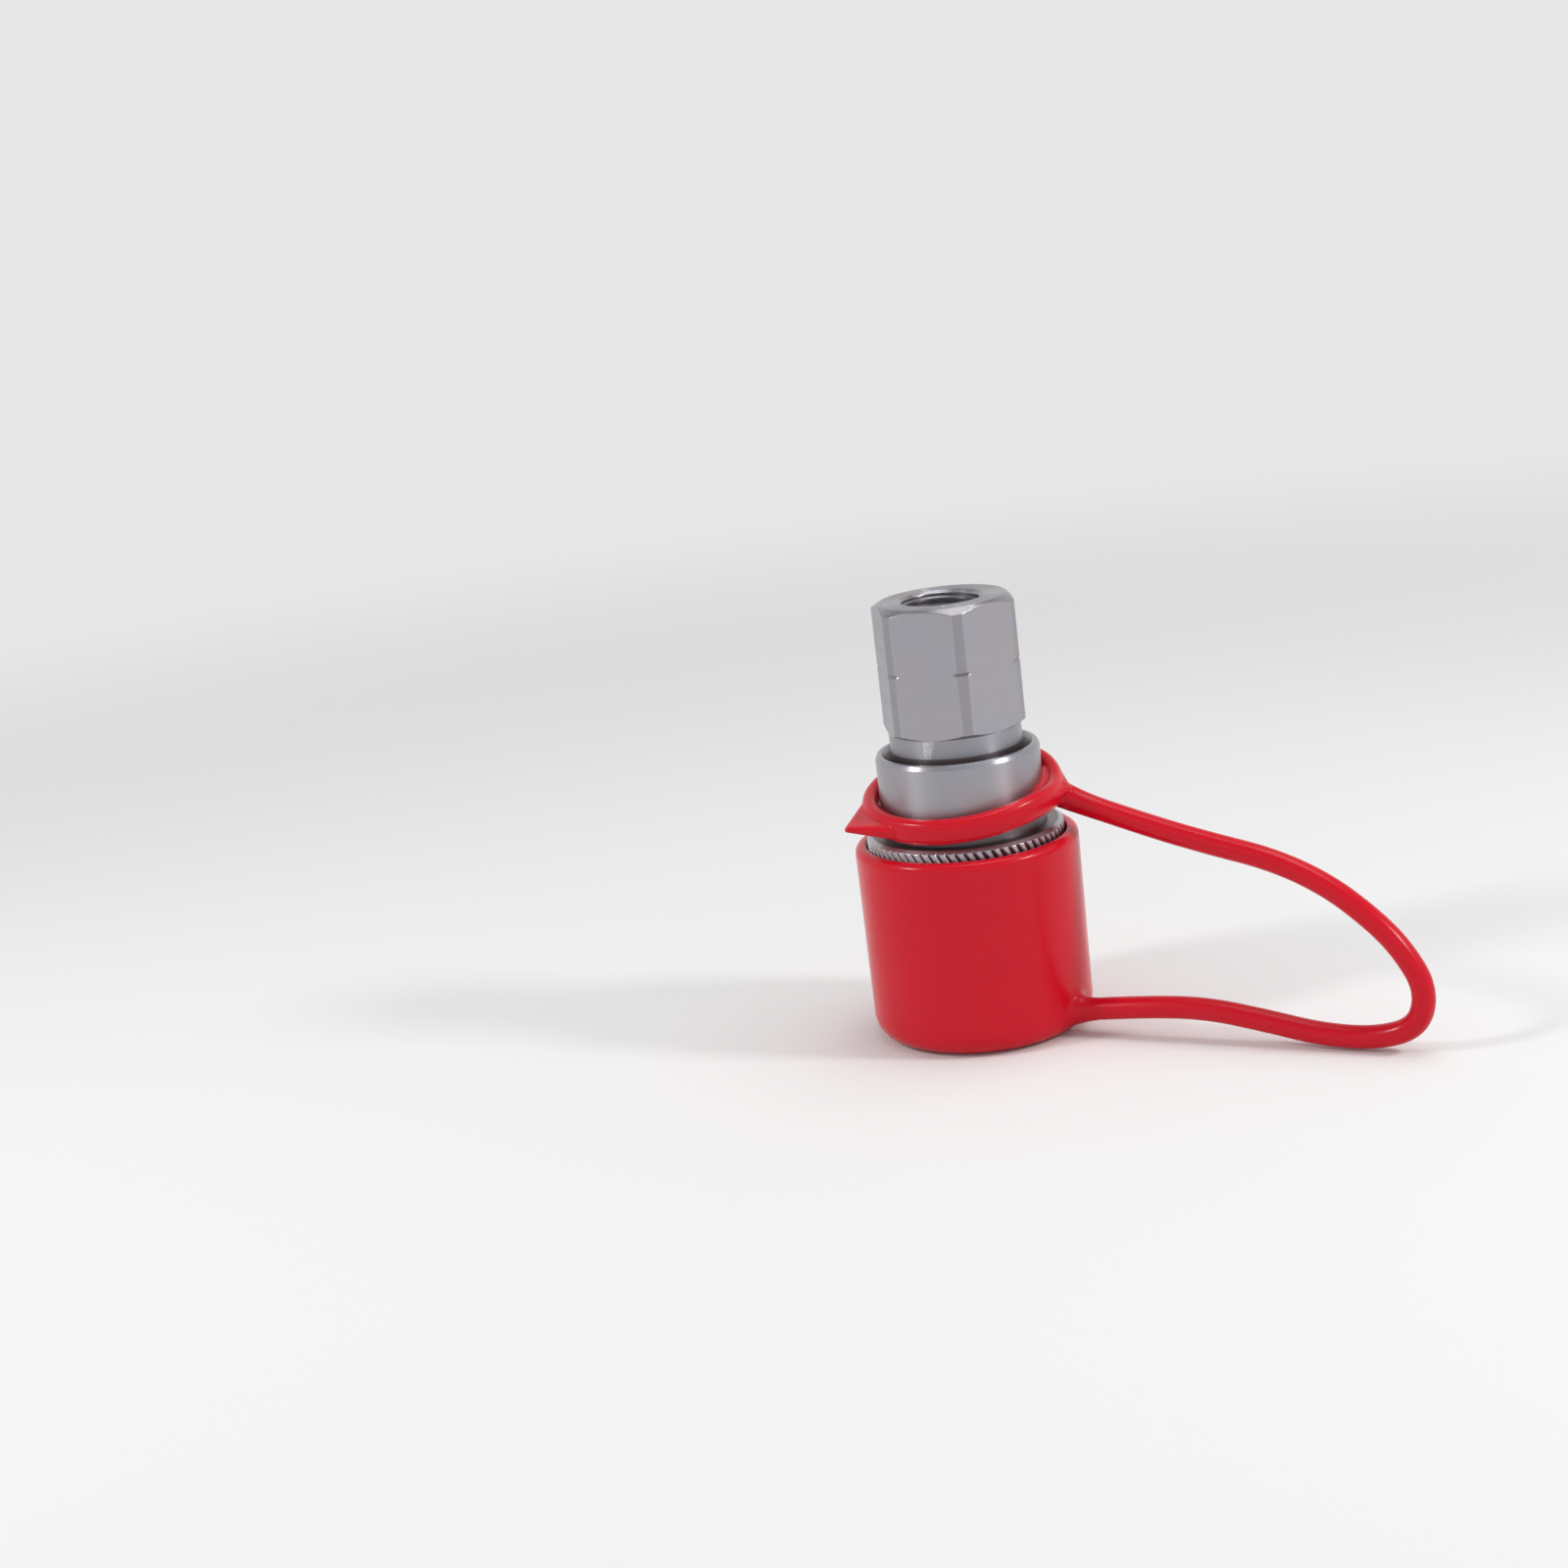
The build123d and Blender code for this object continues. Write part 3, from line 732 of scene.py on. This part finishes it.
def adapter_section(angle):
    """Open outline from the thread's foot, round the outside, to the thread's top."""
    wall = hex_wall(angle)
    tick = max(0.0, wall - tick_floor)
    middle = (hex_z + port_z) / 2
    base = hex_z + (wall - adapter_neck) * hex_slope
    top = port_z - (wall - hex_top) * hex_slope
    return round_off(
        [
            (port_minor, port_bottom),
            (flow_radius, port_bottom, 0.15),
            (flow_radius, spider_seat, 0.1),
            (guide_bore, spider_seat),
            *groove(guide_bore, *circlip_groove),
            *groove(guide_bore, *guide_groove),
            (guide_bore, adapter_z, 0.2),
            (adapter_nose, adapter_z, 0.3),
            *groove(adapter_nose, *seal_groove),
            (adapter_nose, adapter_seat_z),
            (adapter_thread, adapter_seat_z, 0.2),
            (adapter_thread, neck_z, 0.1),
            (adapter_neck, neck_z),
            (adapter_neck, hex_z),
            (wall, base + base_lift, 0.2),
            (wall, middle - tick - tick_edge, 0.05),
            (wall - tick, middle),
            (wall, middle + tick + tick_edge, 0.05),
            (wall, top, 0.3),
            (hex_top, port_z, 0.35),
            (port_mouth, port_z, 0.12),
            (port_mouth - (port_z - thread_top) * mouth_slope, thread_top),
        ]
    )


def thread_depth(phase):
    """Share of the full thread depth at a phase of the pitch."""
    for (a, low), (b, high) in zip(thread_form, thread_form[1:]):
        if a <= phase <= b:
            return low + (high - low) * (phase - a) / (b - a)
    return 0.0


def thread_rows():
    """Phases of the rows in one pitch, dense enough to follow flanks and mouth."""
    phases = []
    for (a, _), (b, _) in zip(thread_form, thread_form[1:]):
        phases += [a + (b - a) * step / thread_fine for step in range(thread_fine)]
    return phases


def thread_place(row, climb):
    """Radius and height of the thread's wall at a row, for a column that has climbed so far."""
    height = port_bottom + (row + climb) * thread_pitch
    clamped = min(max(height, port_bottom), thread_top)
    fade = min(1.0, (clamped - port_bottom) / thread_fade)
    depth = (port_major - port_minor) * thread_depth(row % 1) * fade
    cut = port_mouth - (port_z - clamped) * mouth_slope
    reach = cut if height >= thread_top else max(port_minor + depth, cut)
    return reach, clamped


# %% End adapter: one skin


def make_adapter():
    """Hexagon, neck, nose and threaded port as one closed skin."""
    columns = hex_columns()
    points, faces = [], []
    for angle in columns:
        section = adapter_section(angle)
        points += [polar(p.x, angle, p.y) for p in section]
    size = len(section)
    for column in range(len(columns)):
        here = column * size
        beside = (column + 1) % len(columns) * size
        for k in range(size - 1):
            faces.append((here + k, beside + k, beside + k + 1, here + k + 1))
    turns = math.ceil((thread_top - port_bottom) / thread_pitch) + 1
    rows = [turn + phase for turn in range(-1, turns) for phase in thread_rows()]
    first = len(points)
    around = columns + [columns[0] + math.tau]
    for angle in around:
        climb = (angle - columns[0]) / math.tau + thread_start
        for row in rows:
            reach, height = thread_place(row, climb)
            points.append(polar(reach, angle, height))
    for column in range(len(around) - 1):
        for k in range(len(rows) - 1):
            a = first + column * len(rows) + k
            faces.append((a, a + len(rows), a + len(rows) + 1, a + 1))
    return make_piece("adapter", points, faces)


adapter = make_adapter()

# %% [markdown]
# The three springs are drawn wire wound into coils. They sit inside, but they show in a
# cut or when a piece is taken off, and they shorten as the pieces they push on slide in.
# A tube along a helix is the plain and true way to make one.

# %% Springs
springs = {
    "sleeve_spring": (16.15, 1.2, 21.92, 36.42, 4.0),
    "valve_spring": (8.9, 1.3, 24.0, 42.0, 5.0),
    "face_ring_spring": (11.95, 1.3, 25.8, 42.0, 4.0),
}
spring_seat = 0.05
spring_steps = 48
wire_sides = 16


def make_spring(name, mean_radius, wire, low, high, turns):
    """Round wire wound up from one seat to the other."""
    steps = int(spring_steps * turns)
    climb = high - low - wire - 2 * spring_seat
    path = []
    for step in range(steps + 1):
        angle = math.tau * turns * step / steps
        height = low + wire / 2 + spring_seat + climb * step / steps
        path.append(polar(mean_radius, angle, height))
    points = tube_points(path, wire / 2, wire_sides)
    return make_piece(name + "_wire", points, tube_faces(len(path), wire_sides))


spring_pieces = {name: make_spring(name, *sizes) for name, sizes in springs.items()}

# %% [markdown]
# Finishes share a few effects, and each is a node group built once: tool marks that run
# round the axis, soft clouds that serve for a zinc bath as well as for a moulded skin, wear
# that brightens edges, and a painted shade that darkens deep recesses. A group gives out
# only masks and heights. The shader itself stays in each material, where its fixed numbers
# are set on its own sockets. A few small helpers come first, so that each group reads like a recipe.

# %% Node helpers


def new_group(name, inputs, outputs):
    """Empty shader group with float inputs (name, default) and float outputs."""
    tree = bpy.data.node_groups.new(name, "ShaderNodeTree")
    kind = "NodeSocketFloat"
    for label, value in inputs:
        socket = tree.interface.new_socket(name=label, in_out="INPUT", socket_type=kind)
        socket.default_value = value
    for label in outputs:
        tree.interface.new_socket(name=label, in_out="OUTPUT", socket_type=kind)
    return tree, tree.nodes.new("NodeGroupInput"), tree.nodes.new("NodeGroupOutput")


def add_node(tree, kind, **values):
    """Node of a kind, with properties by name."""
    node = tree.nodes.new(kind)
    for name, value in values.items():
        setattr(node, name, value)
    return node


def feed(tree, socket, value):
    """Set a socket to a number or a colour, or link another socket to it."""
    if isinstance(value, bpy.types.NodeSocket):
        tree.links.new(value, socket)
    else:
        socket.default_value = (*value, 1) if isinstance(value, tuple) else value


def math_node(tree, operation, *values):
    """Math node whose inputs are sockets or numbers; returns its output."""
    node = add_node(tree, "ShaderNodeMath", operation=operation)
    for socket, value in zip(node.inputs, values):
        feed(tree, socket, value)
    return node.outputs[0]


def map_range(tree, value, low, high, to_low, to_high):
    """Smooth map of a socket from one range to another; returns its output."""
    node = add_node(tree, "ShaderNodeMapRange", interpolation_type="SMOOTHSTEP")
    tree.links.new(value, node.inputs["Value"])
    labels = ("From Min", "From Max", "To Min", "To Max")
    for label, number in zip(labels, (low, high, to_low, to_high)):
        feed(tree, node.inputs[label], number)
    return node.outputs["Result"]


def object_place(tree):
    """Place on the object, in its own metres."""
    return add_node(tree, "ShaderNodeTexCoord").outputs["Object"]


def axis_distance(tree, split):
    """Distance from the Z axis, from a place that is split into X, Y and Z."""
    squares = [math_node(tree, "POWER", split.outputs[axis], 2) for axis in "XY"]
    return math_node(tree, "SQRT", math_node(tree, "ADD", *squares))


def noise_of_size(tree, size, detail):
    """Noise over the object, with features of a size in millimetres; returns its value."""
    noise = add_node(tree, "ShaderNodeTexNoise")
    noise.inputs["Detail"].default_value = detail
    tree.links.new(object_place(tree), noise.inputs["Vector"])
    tree.links.new(math_node(tree, "DIVIDE", 1 / mm, size), noise.inputs["Scale"])
    return noise.outputs["Fac"]


# %% [markdown]
# Tool marks are noise that changes only with the radius and the height, so it draws rings
# on a wall and on an end face alike. Edge wear reads how pointed the mesh is, and works only
# where the mesh is dense. The painted shade of a recess is a darker tone told by radius and
# height, standing in for the light that never gets out of a narrow gap.

# %% Shared effects


def tool_marks_group():
    """Fine rings about the Z axis, on walls and on end faces alike."""
    tree, given, out = new_group("tool_marks", [("Spacing mm", 0.2)], ["Height", "Streak"])
    split = add_node(tree, "ShaderNodeSeparateXYZ")
    tree.links.new(object_place(tree), split.inputs[0])
    radius = axis_distance(tree, split)
    scale = math_node(tree, "DIVIDE", 1 / mm, given.outputs["Spacing mm"])
    join = add_node(tree, "ShaderNodeCombineXYZ")
    tree.links.new(math_node(tree, "MULTIPLY", radius, scale), join.inputs["X"])
    tree.links.new(math_node(tree, "MULTIPLY", split.outputs["Z"], scale), join.inputs["Y"])
    noise = add_node(tree, "ShaderNodeTexNoise", noise_dimensions="2D")
    noise.inputs["Scale"].default_value = 1
    noise.inputs["Detail"].default_value = 3
    tree.links.new(join.outputs[0], noise.inputs["Vector"])
    tree.links.new(noise.outputs["Fac"], out.inputs["Height"])
    tree.links.new(map_range(tree, noise.outputs["Fac"], 0.35, 0.65, 0, 1), out.inputs["Streak"])
    return tree


def cloud_group():
    """Soft clouds of one size, as a mask from 0 to 1."""
    given_values = [("Size mm", 6.0), ("Low", 0.38), ("High", 0.62)]
    tree, given, out = new_group("clouds", given_values, ["Mask"])
    noise = noise_of_size(tree, given.outputs["Size mm"], 4)
    mask = map_range(tree, noise, given.outputs["Low"], given.outputs["High"], 0, 1)
    tree.links.new(mask, out.inputs["Mask"])
    return tree


def edge_wear_group():
    """Mask of convex edges, broken up by fine noise."""
    given_values = [("Start", 0.51), ("Full", 0.56), ("Size mm", 0.8)]
    tree, given, out = new_group("edge_wear", given_values, ["Mask"])
    pointed = add_node(tree, "ShaderNodeNewGeometry").outputs["Pointiness"]
    edge = map_range(tree, pointed, given.outputs["Start"], given.outputs["Full"], 0, 1)
    noise = noise_of_size(tree, given.outputs["Size mm"], 2)
    broken = map_range(tree, noise, 0.3, 0.6, 0.3, 1)
    tree.links.new(math_node(tree, "MULTIPLY", edge, broken), out.inputs["Mask"])
    return tree


def painted_shade_group():
    """Painted shade mask of what lies nearer to the Z axis than a radius, between two heights."""
    given_values = [("Radius mm", 16.0), ("Soft mm", 0.3), ("Low mm", 0.0), ("High mm", 100.0)]
    tree, given, out = new_group("painted_shade", given_values, ["Mask"])
    split = add_node(tree, "ShaderNodeSeparateXYZ")
    tree.links.new(object_place(tree), split.inputs[0])
    radius = math_node(tree, "DIVIDE", axis_distance(tree, split), mm)
    height = math_node(tree, "DIVIDE", split.outputs["Z"], mm)
    soft = given.outputs["Soft mm"]
    edges = [("Radius mm", radius, -1), ("Low mm", height, 1), ("High mm", height, -1)]
    masks = []
    for label, value, side in edges:
        edge = given.outputs[label]
        far = math_node(tree, "ADD" if side > 0 else "SUBTRACT", edge, soft)
        masks.append(map_range(tree, value, edge, far, 0, 1))
    between = math_node(tree, "MULTIPLY", masks[1], masks[2])
    inside = math_node(tree, "MULTIPLY", masks[0], between)
    tree.links.new(inside, out.inputs["Mask"])
    return tree


tool_marks = tool_marks_group()
clouds = cloud_group()
edge_wear = edge_wear_group()
painted_shade = painted_shade_group()
print("shared effects", [tree.name for tree in bpy.data.node_groups])

# %% [markdown]
# Every finish below is made in the same few moves: place a shared effect, mix two colours
# by its mask, let its mask steer the roughness, and add a bump. Each move is one helper.

# %% Material helpers


def place_group(tree, group, **values):
    """Shared effect placed in a material with its own values."""
    node = tree.nodes.new("ShaderNodeGroup")
    node.node_tree = group
    for name, value in values.items():
        node.inputs[name.replace("_", " ")].default_value = value
    return node


def mix_colour(tree, mask, low, high):
    """Colour between two, by a mask; colours are written in linear light."""
    node = add_node(tree, "ShaderNodeMix", data_type="RGBA")
    tree.links.new(mask, node.inputs["Factor"])
    feed(tree, node.inputs[6], low)
    feed(tree, node.inputs[7], high)
    return node.outputs[2]


def paint(tree, shader, mask, low, high, smooth, rough):
    """Colour and roughness of a shader, both led by one mask."""
    tree.links.new(mix_colour(tree, mask, low, high), shader.inputs["Base Color"])
    tree.links.new(map_range(tree, mask, 0, 1, smooth, rough), shader.inputs["Roughness"])


def bump(tree, shader, height, distance):
    """Bump of a height in millimetres, on the shader's normal."""
    node = add_node(tree, "ShaderNodeBump")
    node.inputs["Strength"].default_value = 1.0
    node.inputs["Distance"].default_value = distance * mm
    tree.links.new(height, node.inputs["Height"])
    tree.links.new(node.outputs["Normal"], shader.inputs["Normal"])


def new_material(name, **values):
    """Material with a Principled shader whose fixed numbers are set on its sockets."""
    made = bpy.data.materials.new(name)
    made.use_nodes = True
    tree = made.node_tree
    shader = tree.nodes["Principled BSDF"]
    for label, value in values.items():
        shader.inputs[label.replace("_", " ")].default_value = value
    return made, tree, shader


# %% [markdown]
# Bright zinc on steel is a cool grey that is neither mirror nor matt. The bath leaves
# faint pink and blue clouds, the lathe leaves rings, and handling polishes the edges. So
# colour moves between two near greys, and roughness follows clouds and tool marks. Fine
# rings smear a reflection across themselves, so the turned walls have an anisotropic shine.
# Milled flats have none. The pieces that come straight from the imported model have long thin
# faces, where edge wear can't be told from the flat wall, so only the adapter wears. Deep
# recesses get a painted shade, a darker tone laid in by radius and height. The sleeve's whole
# tone is raised as painted light, and the neck's and body's are lowered as painted shade.

# %% Steel finishes
zinc_pink = (0.405, 0.378, 0.40)
zinc_blue = (0.38, 0.385, 0.425)
zinc_edge = (0.60, 0.59, 0.61)
# Painted shade: the dark tone laid into recesses.
painted_shade_tone = (0.15, 0.12, 0.125)
turned_gloss = (0.33, 0.38)
milled_gloss = (0.34, 0.40)
turned_spacing = 0.3
milled_spacing = 2.5
turned_stretch = 0.8
sleeve_stretch = 0.6
mark_depth = 0.0005


def zinc_material(name, gloss, spacing, stretch=0.0, painted_shades=(), painted_light_scale=1.0, wear=False):
    """Zinc plated steel. The gloss is its smoothest and roughest, the stretch smears a
    highlight across turned rings, each painted shade is a radius, a softness and two heights
    inside which the tone is darkened, and the scale raises the plating's tone as painted light
    above one and lowers it as painted shade below one."""
    # The scale multiplies every plating tone: above one it is painted light, below one painted shade.
    tones = (zinc_pink, zinc_blue, zinc_edge)
    pink, blue, edge = (tuple(part * painted_light_scale for part in tone) for tone in tones)
    made, tree, shader = new_material(name, Metallic=1.0, Anisotropic=stretch, Anisotropic_Rotation=0.25)
    bath = place_group(tree, clouds, Size_mm=11.0)
    grain = place_group(tree, clouds, Size_mm=5.0, Low=0.3, High=0.7)
    marks = place_group(tree, tool_marks, Spacing_mm=spacing)
    tone = mix_colour(tree, bath.outputs["Mask"], pink, blue)
    if wear:
        worn = place_group(tree, edge_wear)
        tone = mix_colour(tree, worn.outputs["Mask"], tone, edge)
    # Painted shade: inside each recess the plating tone is darkened.
    for radius, soft, low, high in painted_shades:
        shade = place_group(tree, painted_shade, Radius_mm=radius, Soft_mm=soft, Low_mm=low, High_mm=high)
        tone = mix_colour(tree, shade.outputs["Mask"], tone, painted_shade_tone)
    tree.links.new(tone, shader.inputs["Base Color"])
    masks = (grain.outputs["Mask"], marks.outputs["Streak"])
    halves = [math_node(tree, "MULTIPLY", mask, 0.5) for mask in masks]
    uneven = math_node(tree, "ADD", *halves)
    tree.links.new(map_range(tree, uneven, 0, 1, *gloss), shader.inputs["Roughness"])
    bump(tree, shader, marks.outputs["Height"], mark_depth)
    return made


# %% Steel finishes: one for each kind of piece
# Painted light and shade: the sleeve's plating tone is raised, and the neck's and body's are lowered.
neck_painted_shade = 0.88
body_painted_shade = 0.97
sleeve_painted_light = 1.15
# Painted shade: each recess below is a radius, a softness and two heights where the tone is darkened.
body_painted_shades = [(15.2, 0.4, 56.5, 61.0), (17.2, 0.6, 41.0, 45.2)]
sleeve_painted_shades = [(20.15, 0.3, 33.8, 42.4), (19.3, 0.2, 42.7, 44.5)]
neck_painted_shades = [(14.2, 0.3, 56.0, 60.4)]
turned = (turned_gloss, turned_spacing, turned_stretch)
zinc_turned = zinc_material("zinc_turned", *turned)
zinc_body = zinc_material("zinc_body", *turned, body_painted_shades, body_painted_shade)
zinc_neck = zinc_material("zinc_neck", *turned, neck_painted_shades, neck_painted_shade, wear=True)
zinc_sleeve = zinc_material(
    "zinc_sleeve", turned_gloss, turned_spacing, sleeve_stretch, sleeve_painted_shades, sleeve_painted_light
)
zinc_flats = zinc_material("zinc_flats", milled_gloss, milled_spacing, wear=True)


def wire_material():
    """Drawn spring wire, darker than the plating, with fine draw lines."""
    made, tree, shader = new_material("spring_wire", Metallic=1.0)
    grain = place_group(tree, clouds, Size_mm=0.5).outputs["Mask"]
    paint(tree, shader, grain, (0.26, 0.26, 0.27), (0.42, 0.42, 0.43), 0.25, 0.45)
    return made


def ball_material():
    """Polished bearing balls with the faintest haze."""
    made, tree, shader = new_material("ball_steel", Metallic=1.0)
    haze = place_group(tree, clouds, Size_mm=1.5).outputs["Mask"]
    paint(tree, shader, haze, (0.62, 0.62, 0.64), (0.68, 0.68, 0.69), 0.06, 0.14)
    return made


spring_wire = wire_material()
ball_steel = ball_material()
print("steel finishes", [made.name for made in bpy.data.materials if made.name.startswith("zinc")])

# %% [markdown]
# The cap, strap and ring are a soft vinyl of one deep red. It is satin, not glossy: a
# lamp leaves a short soft streak on a rounded rim. The skin has a very fine orange peel,
# and the gloss varies a little from place to place.

# %% Plastic and rubber finishes
red_deep = (0.535, 0.0033, 0.0145)
red_light = (0.565, 0.0040, 0.0165)
red_shine = 0.22
red_gloss = (0.20, 0.25)
red_peel = 0.003
mottle_depth = 0.005


def vinyl_material():
    """Soft red vinyl with a fine moulded skin."""
    made, tree, shader = new_material("red_vinyl", Specular_IOR_Level=red_shine)
    flow = place_group(tree, clouds, Size_mm=22.0, Low=0.15, High=0.85).outputs["Mask"]
    skin = place_group(tree, clouds, Size_mm=0.7, Low=0.2, High=0.8).outputs["Mask"]
    paint(tree, shader, flow, red_deep, red_light, *red_gloss)
    bump(tree, shader, skin, red_peel)
    return made


def plain_material(name, dark, light, smooth, rough, size):
    """Rubber or machined plastic with a mottled tone and an uneven gloss."""
    made, tree, shader = new_material(name)
    mottle = place_group(tree, clouds, Size_mm=size).outputs["Mask"]
    paint(tree, shader, mottle, dark, light, smooth, rough)
    bump(tree, shader, mottle, mottle_depth)
    return made


red_vinyl = vinyl_material()
rubber_tones = ((0.016, 0.016, 0.017), (0.03, 0.03, 0.031))
white_tones = ((0.70, 0.70, 0.66), (0.78, 0.78, 0.75))
black_rubber = plain_material("black_rubber", *rubber_tones, 0.45, 0.6, 0.6)
white_plastic = plain_material("white_plastic", *white_tones, 0.35, 0.5, 1.2)
print("finishes", len(bpy.data.materials))

# %% [markdown]
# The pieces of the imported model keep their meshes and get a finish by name. The made pieces
# get theirs directly. The adapter has two: its flats are milled, all the rest is turned.

# %% Finish every piece
flat_end = 1.0
flat_top = 1.5
flat_slack = 0.1
upright_limit = 0.1
node_finish = {
    "coupler_body": zinc_body,
    "lock_sleeve": zinc_sleeve,
    "face_ring": zinc_turned,
    "valve_sleeve": zinc_turned,
    "valve_stem": zinc_turned,
    "stem_spider": zinc_turned,
    "stem_nut": zinc_turned,
    "stop_ring": spring_wire,
    "spider_circlip": spring_wire,
    "locking_balls": ball_steel,
    "nose_seal": black_rubber,
    "adapter_seal": black_rubber,
    "guide_seal": black_rubber,
    "stem_seal": black_rubber,
    "nose_backup_ring": white_plastic,
    "guide_backup_ring": white_plastic,
}
for node, finish in node_finish.items():
    for material_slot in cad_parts[node].material_slots:
        material_slot.material = finish
for piece in (cap, strap, ring):
    piece.data.materials.append(red_vinyl)
for piece in spring_pieces.values():
    piece.data.materials.append(spring_wire)
adapter.data.materials.append(zinc_neck)
adapter.data.materials.append(zinc_flats)
for face in adapter.data.polygons:
    centre = face.center / mm
    off = abs(math.remainder(math.atan2(centre.y, centre.x) - hex_turn, math.tau / 6))
    between = hex_z + flat_end < centre.z < port_z - flat_top
    outside = math.hypot(centre.x, centre.y) > adapter_neck - flat_slack
    upright = abs(face.normal.z) < upright_limit
    if off < round_stop and between and outside and upright:
        face.material_index = 1
print("nodes with a finish by name", len(node_finish))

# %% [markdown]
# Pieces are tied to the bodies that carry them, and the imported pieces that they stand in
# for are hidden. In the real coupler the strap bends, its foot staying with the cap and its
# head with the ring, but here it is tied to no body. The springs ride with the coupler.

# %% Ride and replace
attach(cap, "cap")
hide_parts("dust_cap")
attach(ring, "tether")
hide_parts("tether_ring")
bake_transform(strap)
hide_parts("tether_strap")
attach(adapter, "coupler")
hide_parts("end_adapter")
spring_squash = {
    "sleeve_spring": ("sleeve_slide", 0.931),
    "valve_spring": ("valve_slide", 0.583),
    "face_ring_spring": ("face_ring_slide", 0.506),
}
for name, (joint, keep) in spring_squash.items():
    piece = spring_pieces[name]
    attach(piece, "coupler")
    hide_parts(name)
    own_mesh(piece)

# %% [markdown]
# The floor is one pale sheet. A little way out it turns into the very tone of the sky, so
# that no horizon line cuts the picture from any side. A soft lamp overhead lights all that
# faces up, and two small ones in front draw the bright streaks down the turned steel. The
# sky is grey and dimmer halfway up, which gives the metal something darker to mirror.

# %% Floor and light
sky_tone = 0.80
sky_dim = 0.38
sky_top = 0.80
floor_tone = 0.76
sky_stops = [(30, sky_tone), (48, sky_dim), (62, sky_dim), (80, sky_top)]
floor_reach = 8.0
fade_start = 0.25
fade_end = 0.8
lamp_target = Vector((15, 0, 40)) * mm
lamps = {
    "overhead": (60, 80, 0.8, 0.45, 1.7),
    "left_front": (-130, 36, 0.7, 0.10, 1.4),
    "right_front": (12, 36, 0.7, 0.10, 1.8),
}


def make_floor():
    """Large flat sheet that fades into the sky."""
    mesh = bpy.data.meshes.new("floor")
    half = floor_reach
    corners = [(-half, -half, 0), (half, -half, 0), (half, half, 0), (-half, half, 0)]
    mesh.from_pydata(corners, [], [(0, 1, 2, 3)])
    floor = new_object("floor", mesh)
    made, tree, shader = new_material("floor_sheet", Roughness=0.9, Specular_IOR_Level=0.2)
    shader.inputs["Base Color"].default_value = (floor_tone, floor_tone, floor_tone, 1)
    reach = add_node(tree, "ShaderNodeVectorMath", operation="LENGTH")
    tree.links.new(object_place(tree), reach.inputs[0])
    fade = map_range(tree, reach.outputs["Value"], fade_start, fade_end, 0, 1)
    glow = add_node(tree, "ShaderNodeEmission")
    glow.inputs["Color"].default_value = (sky_tone, sky_tone, sky_tone, 1)
    mix = add_node(tree, "ShaderNodeMixShader")
    tree.links.new(fade, mix.inputs[0])
    tree.links.new(shader.outputs[0], mix.inputs[1])
    tree.links.new(glow.outputs[0], mix.inputs[2])
    tree.links.new(mix.outputs[0], tree.nodes["Material Output"].inputs["Surface"])
    mesh.materials.append(made)


def add_lamp(name, azimuth, elevation, distance, size, power):
    """Square lamp that looks at the object, from a direction in degrees and a distance."""
    data = bpy.data.lights.new(name, "AREA")
    data.shape = "SQUARE"
    data.size = size
    data.energy = power
    lamp = new_object(name, data)
    plan, rise = math.radians(azimuth), math.radians(elevation)
    away = polar(math.cos(rise), plan, math.sin(rise))
    turn = away.to_track_quat("Z", "Y").to_matrix().to_4x4()
    lamp.matrix_world = Matrix.Translation(lamp_target + away * distance) @ turn


def make_sky():
    """World whose tone changes with the height of the direction."""
    world = bpy.data.worlds.new("studio")
    world.use_nodes = True
    sky = world.node_tree
    aim = add_node(sky, "ShaderNodeTexCoord")
    split = add_node(sky, "ShaderNodeSeparateXYZ")
    ramp = add_node(sky, "ShaderNodeValToRGB")
    sky.links.new(aim.outputs["Generated"], split.inputs[0])
    sky.links.new(split.outputs["Z"], ramp.inputs["Fac"])
    sky.links.new(ramp.outputs["Color"], sky.nodes["Background"].inputs["Color"])
    elements = ramp.color_ramp.elements
    while len(elements) < len(sky_stops):
        elements.new(0.5)
    for element, (elevation, tone) in zip(elements, sky_stops):
        element.position = math.sin(math.radians(elevation))
        element.color = (tone, tone, tone, 1)
    bpy.context.scene.world = world


make_floor()
make_sky()
for name, values in lamps.items():
    add_lamp(name, *values)
bpy.context.scene.view_settings.view_transform = "Standard"
print("lamps", list(lamps))
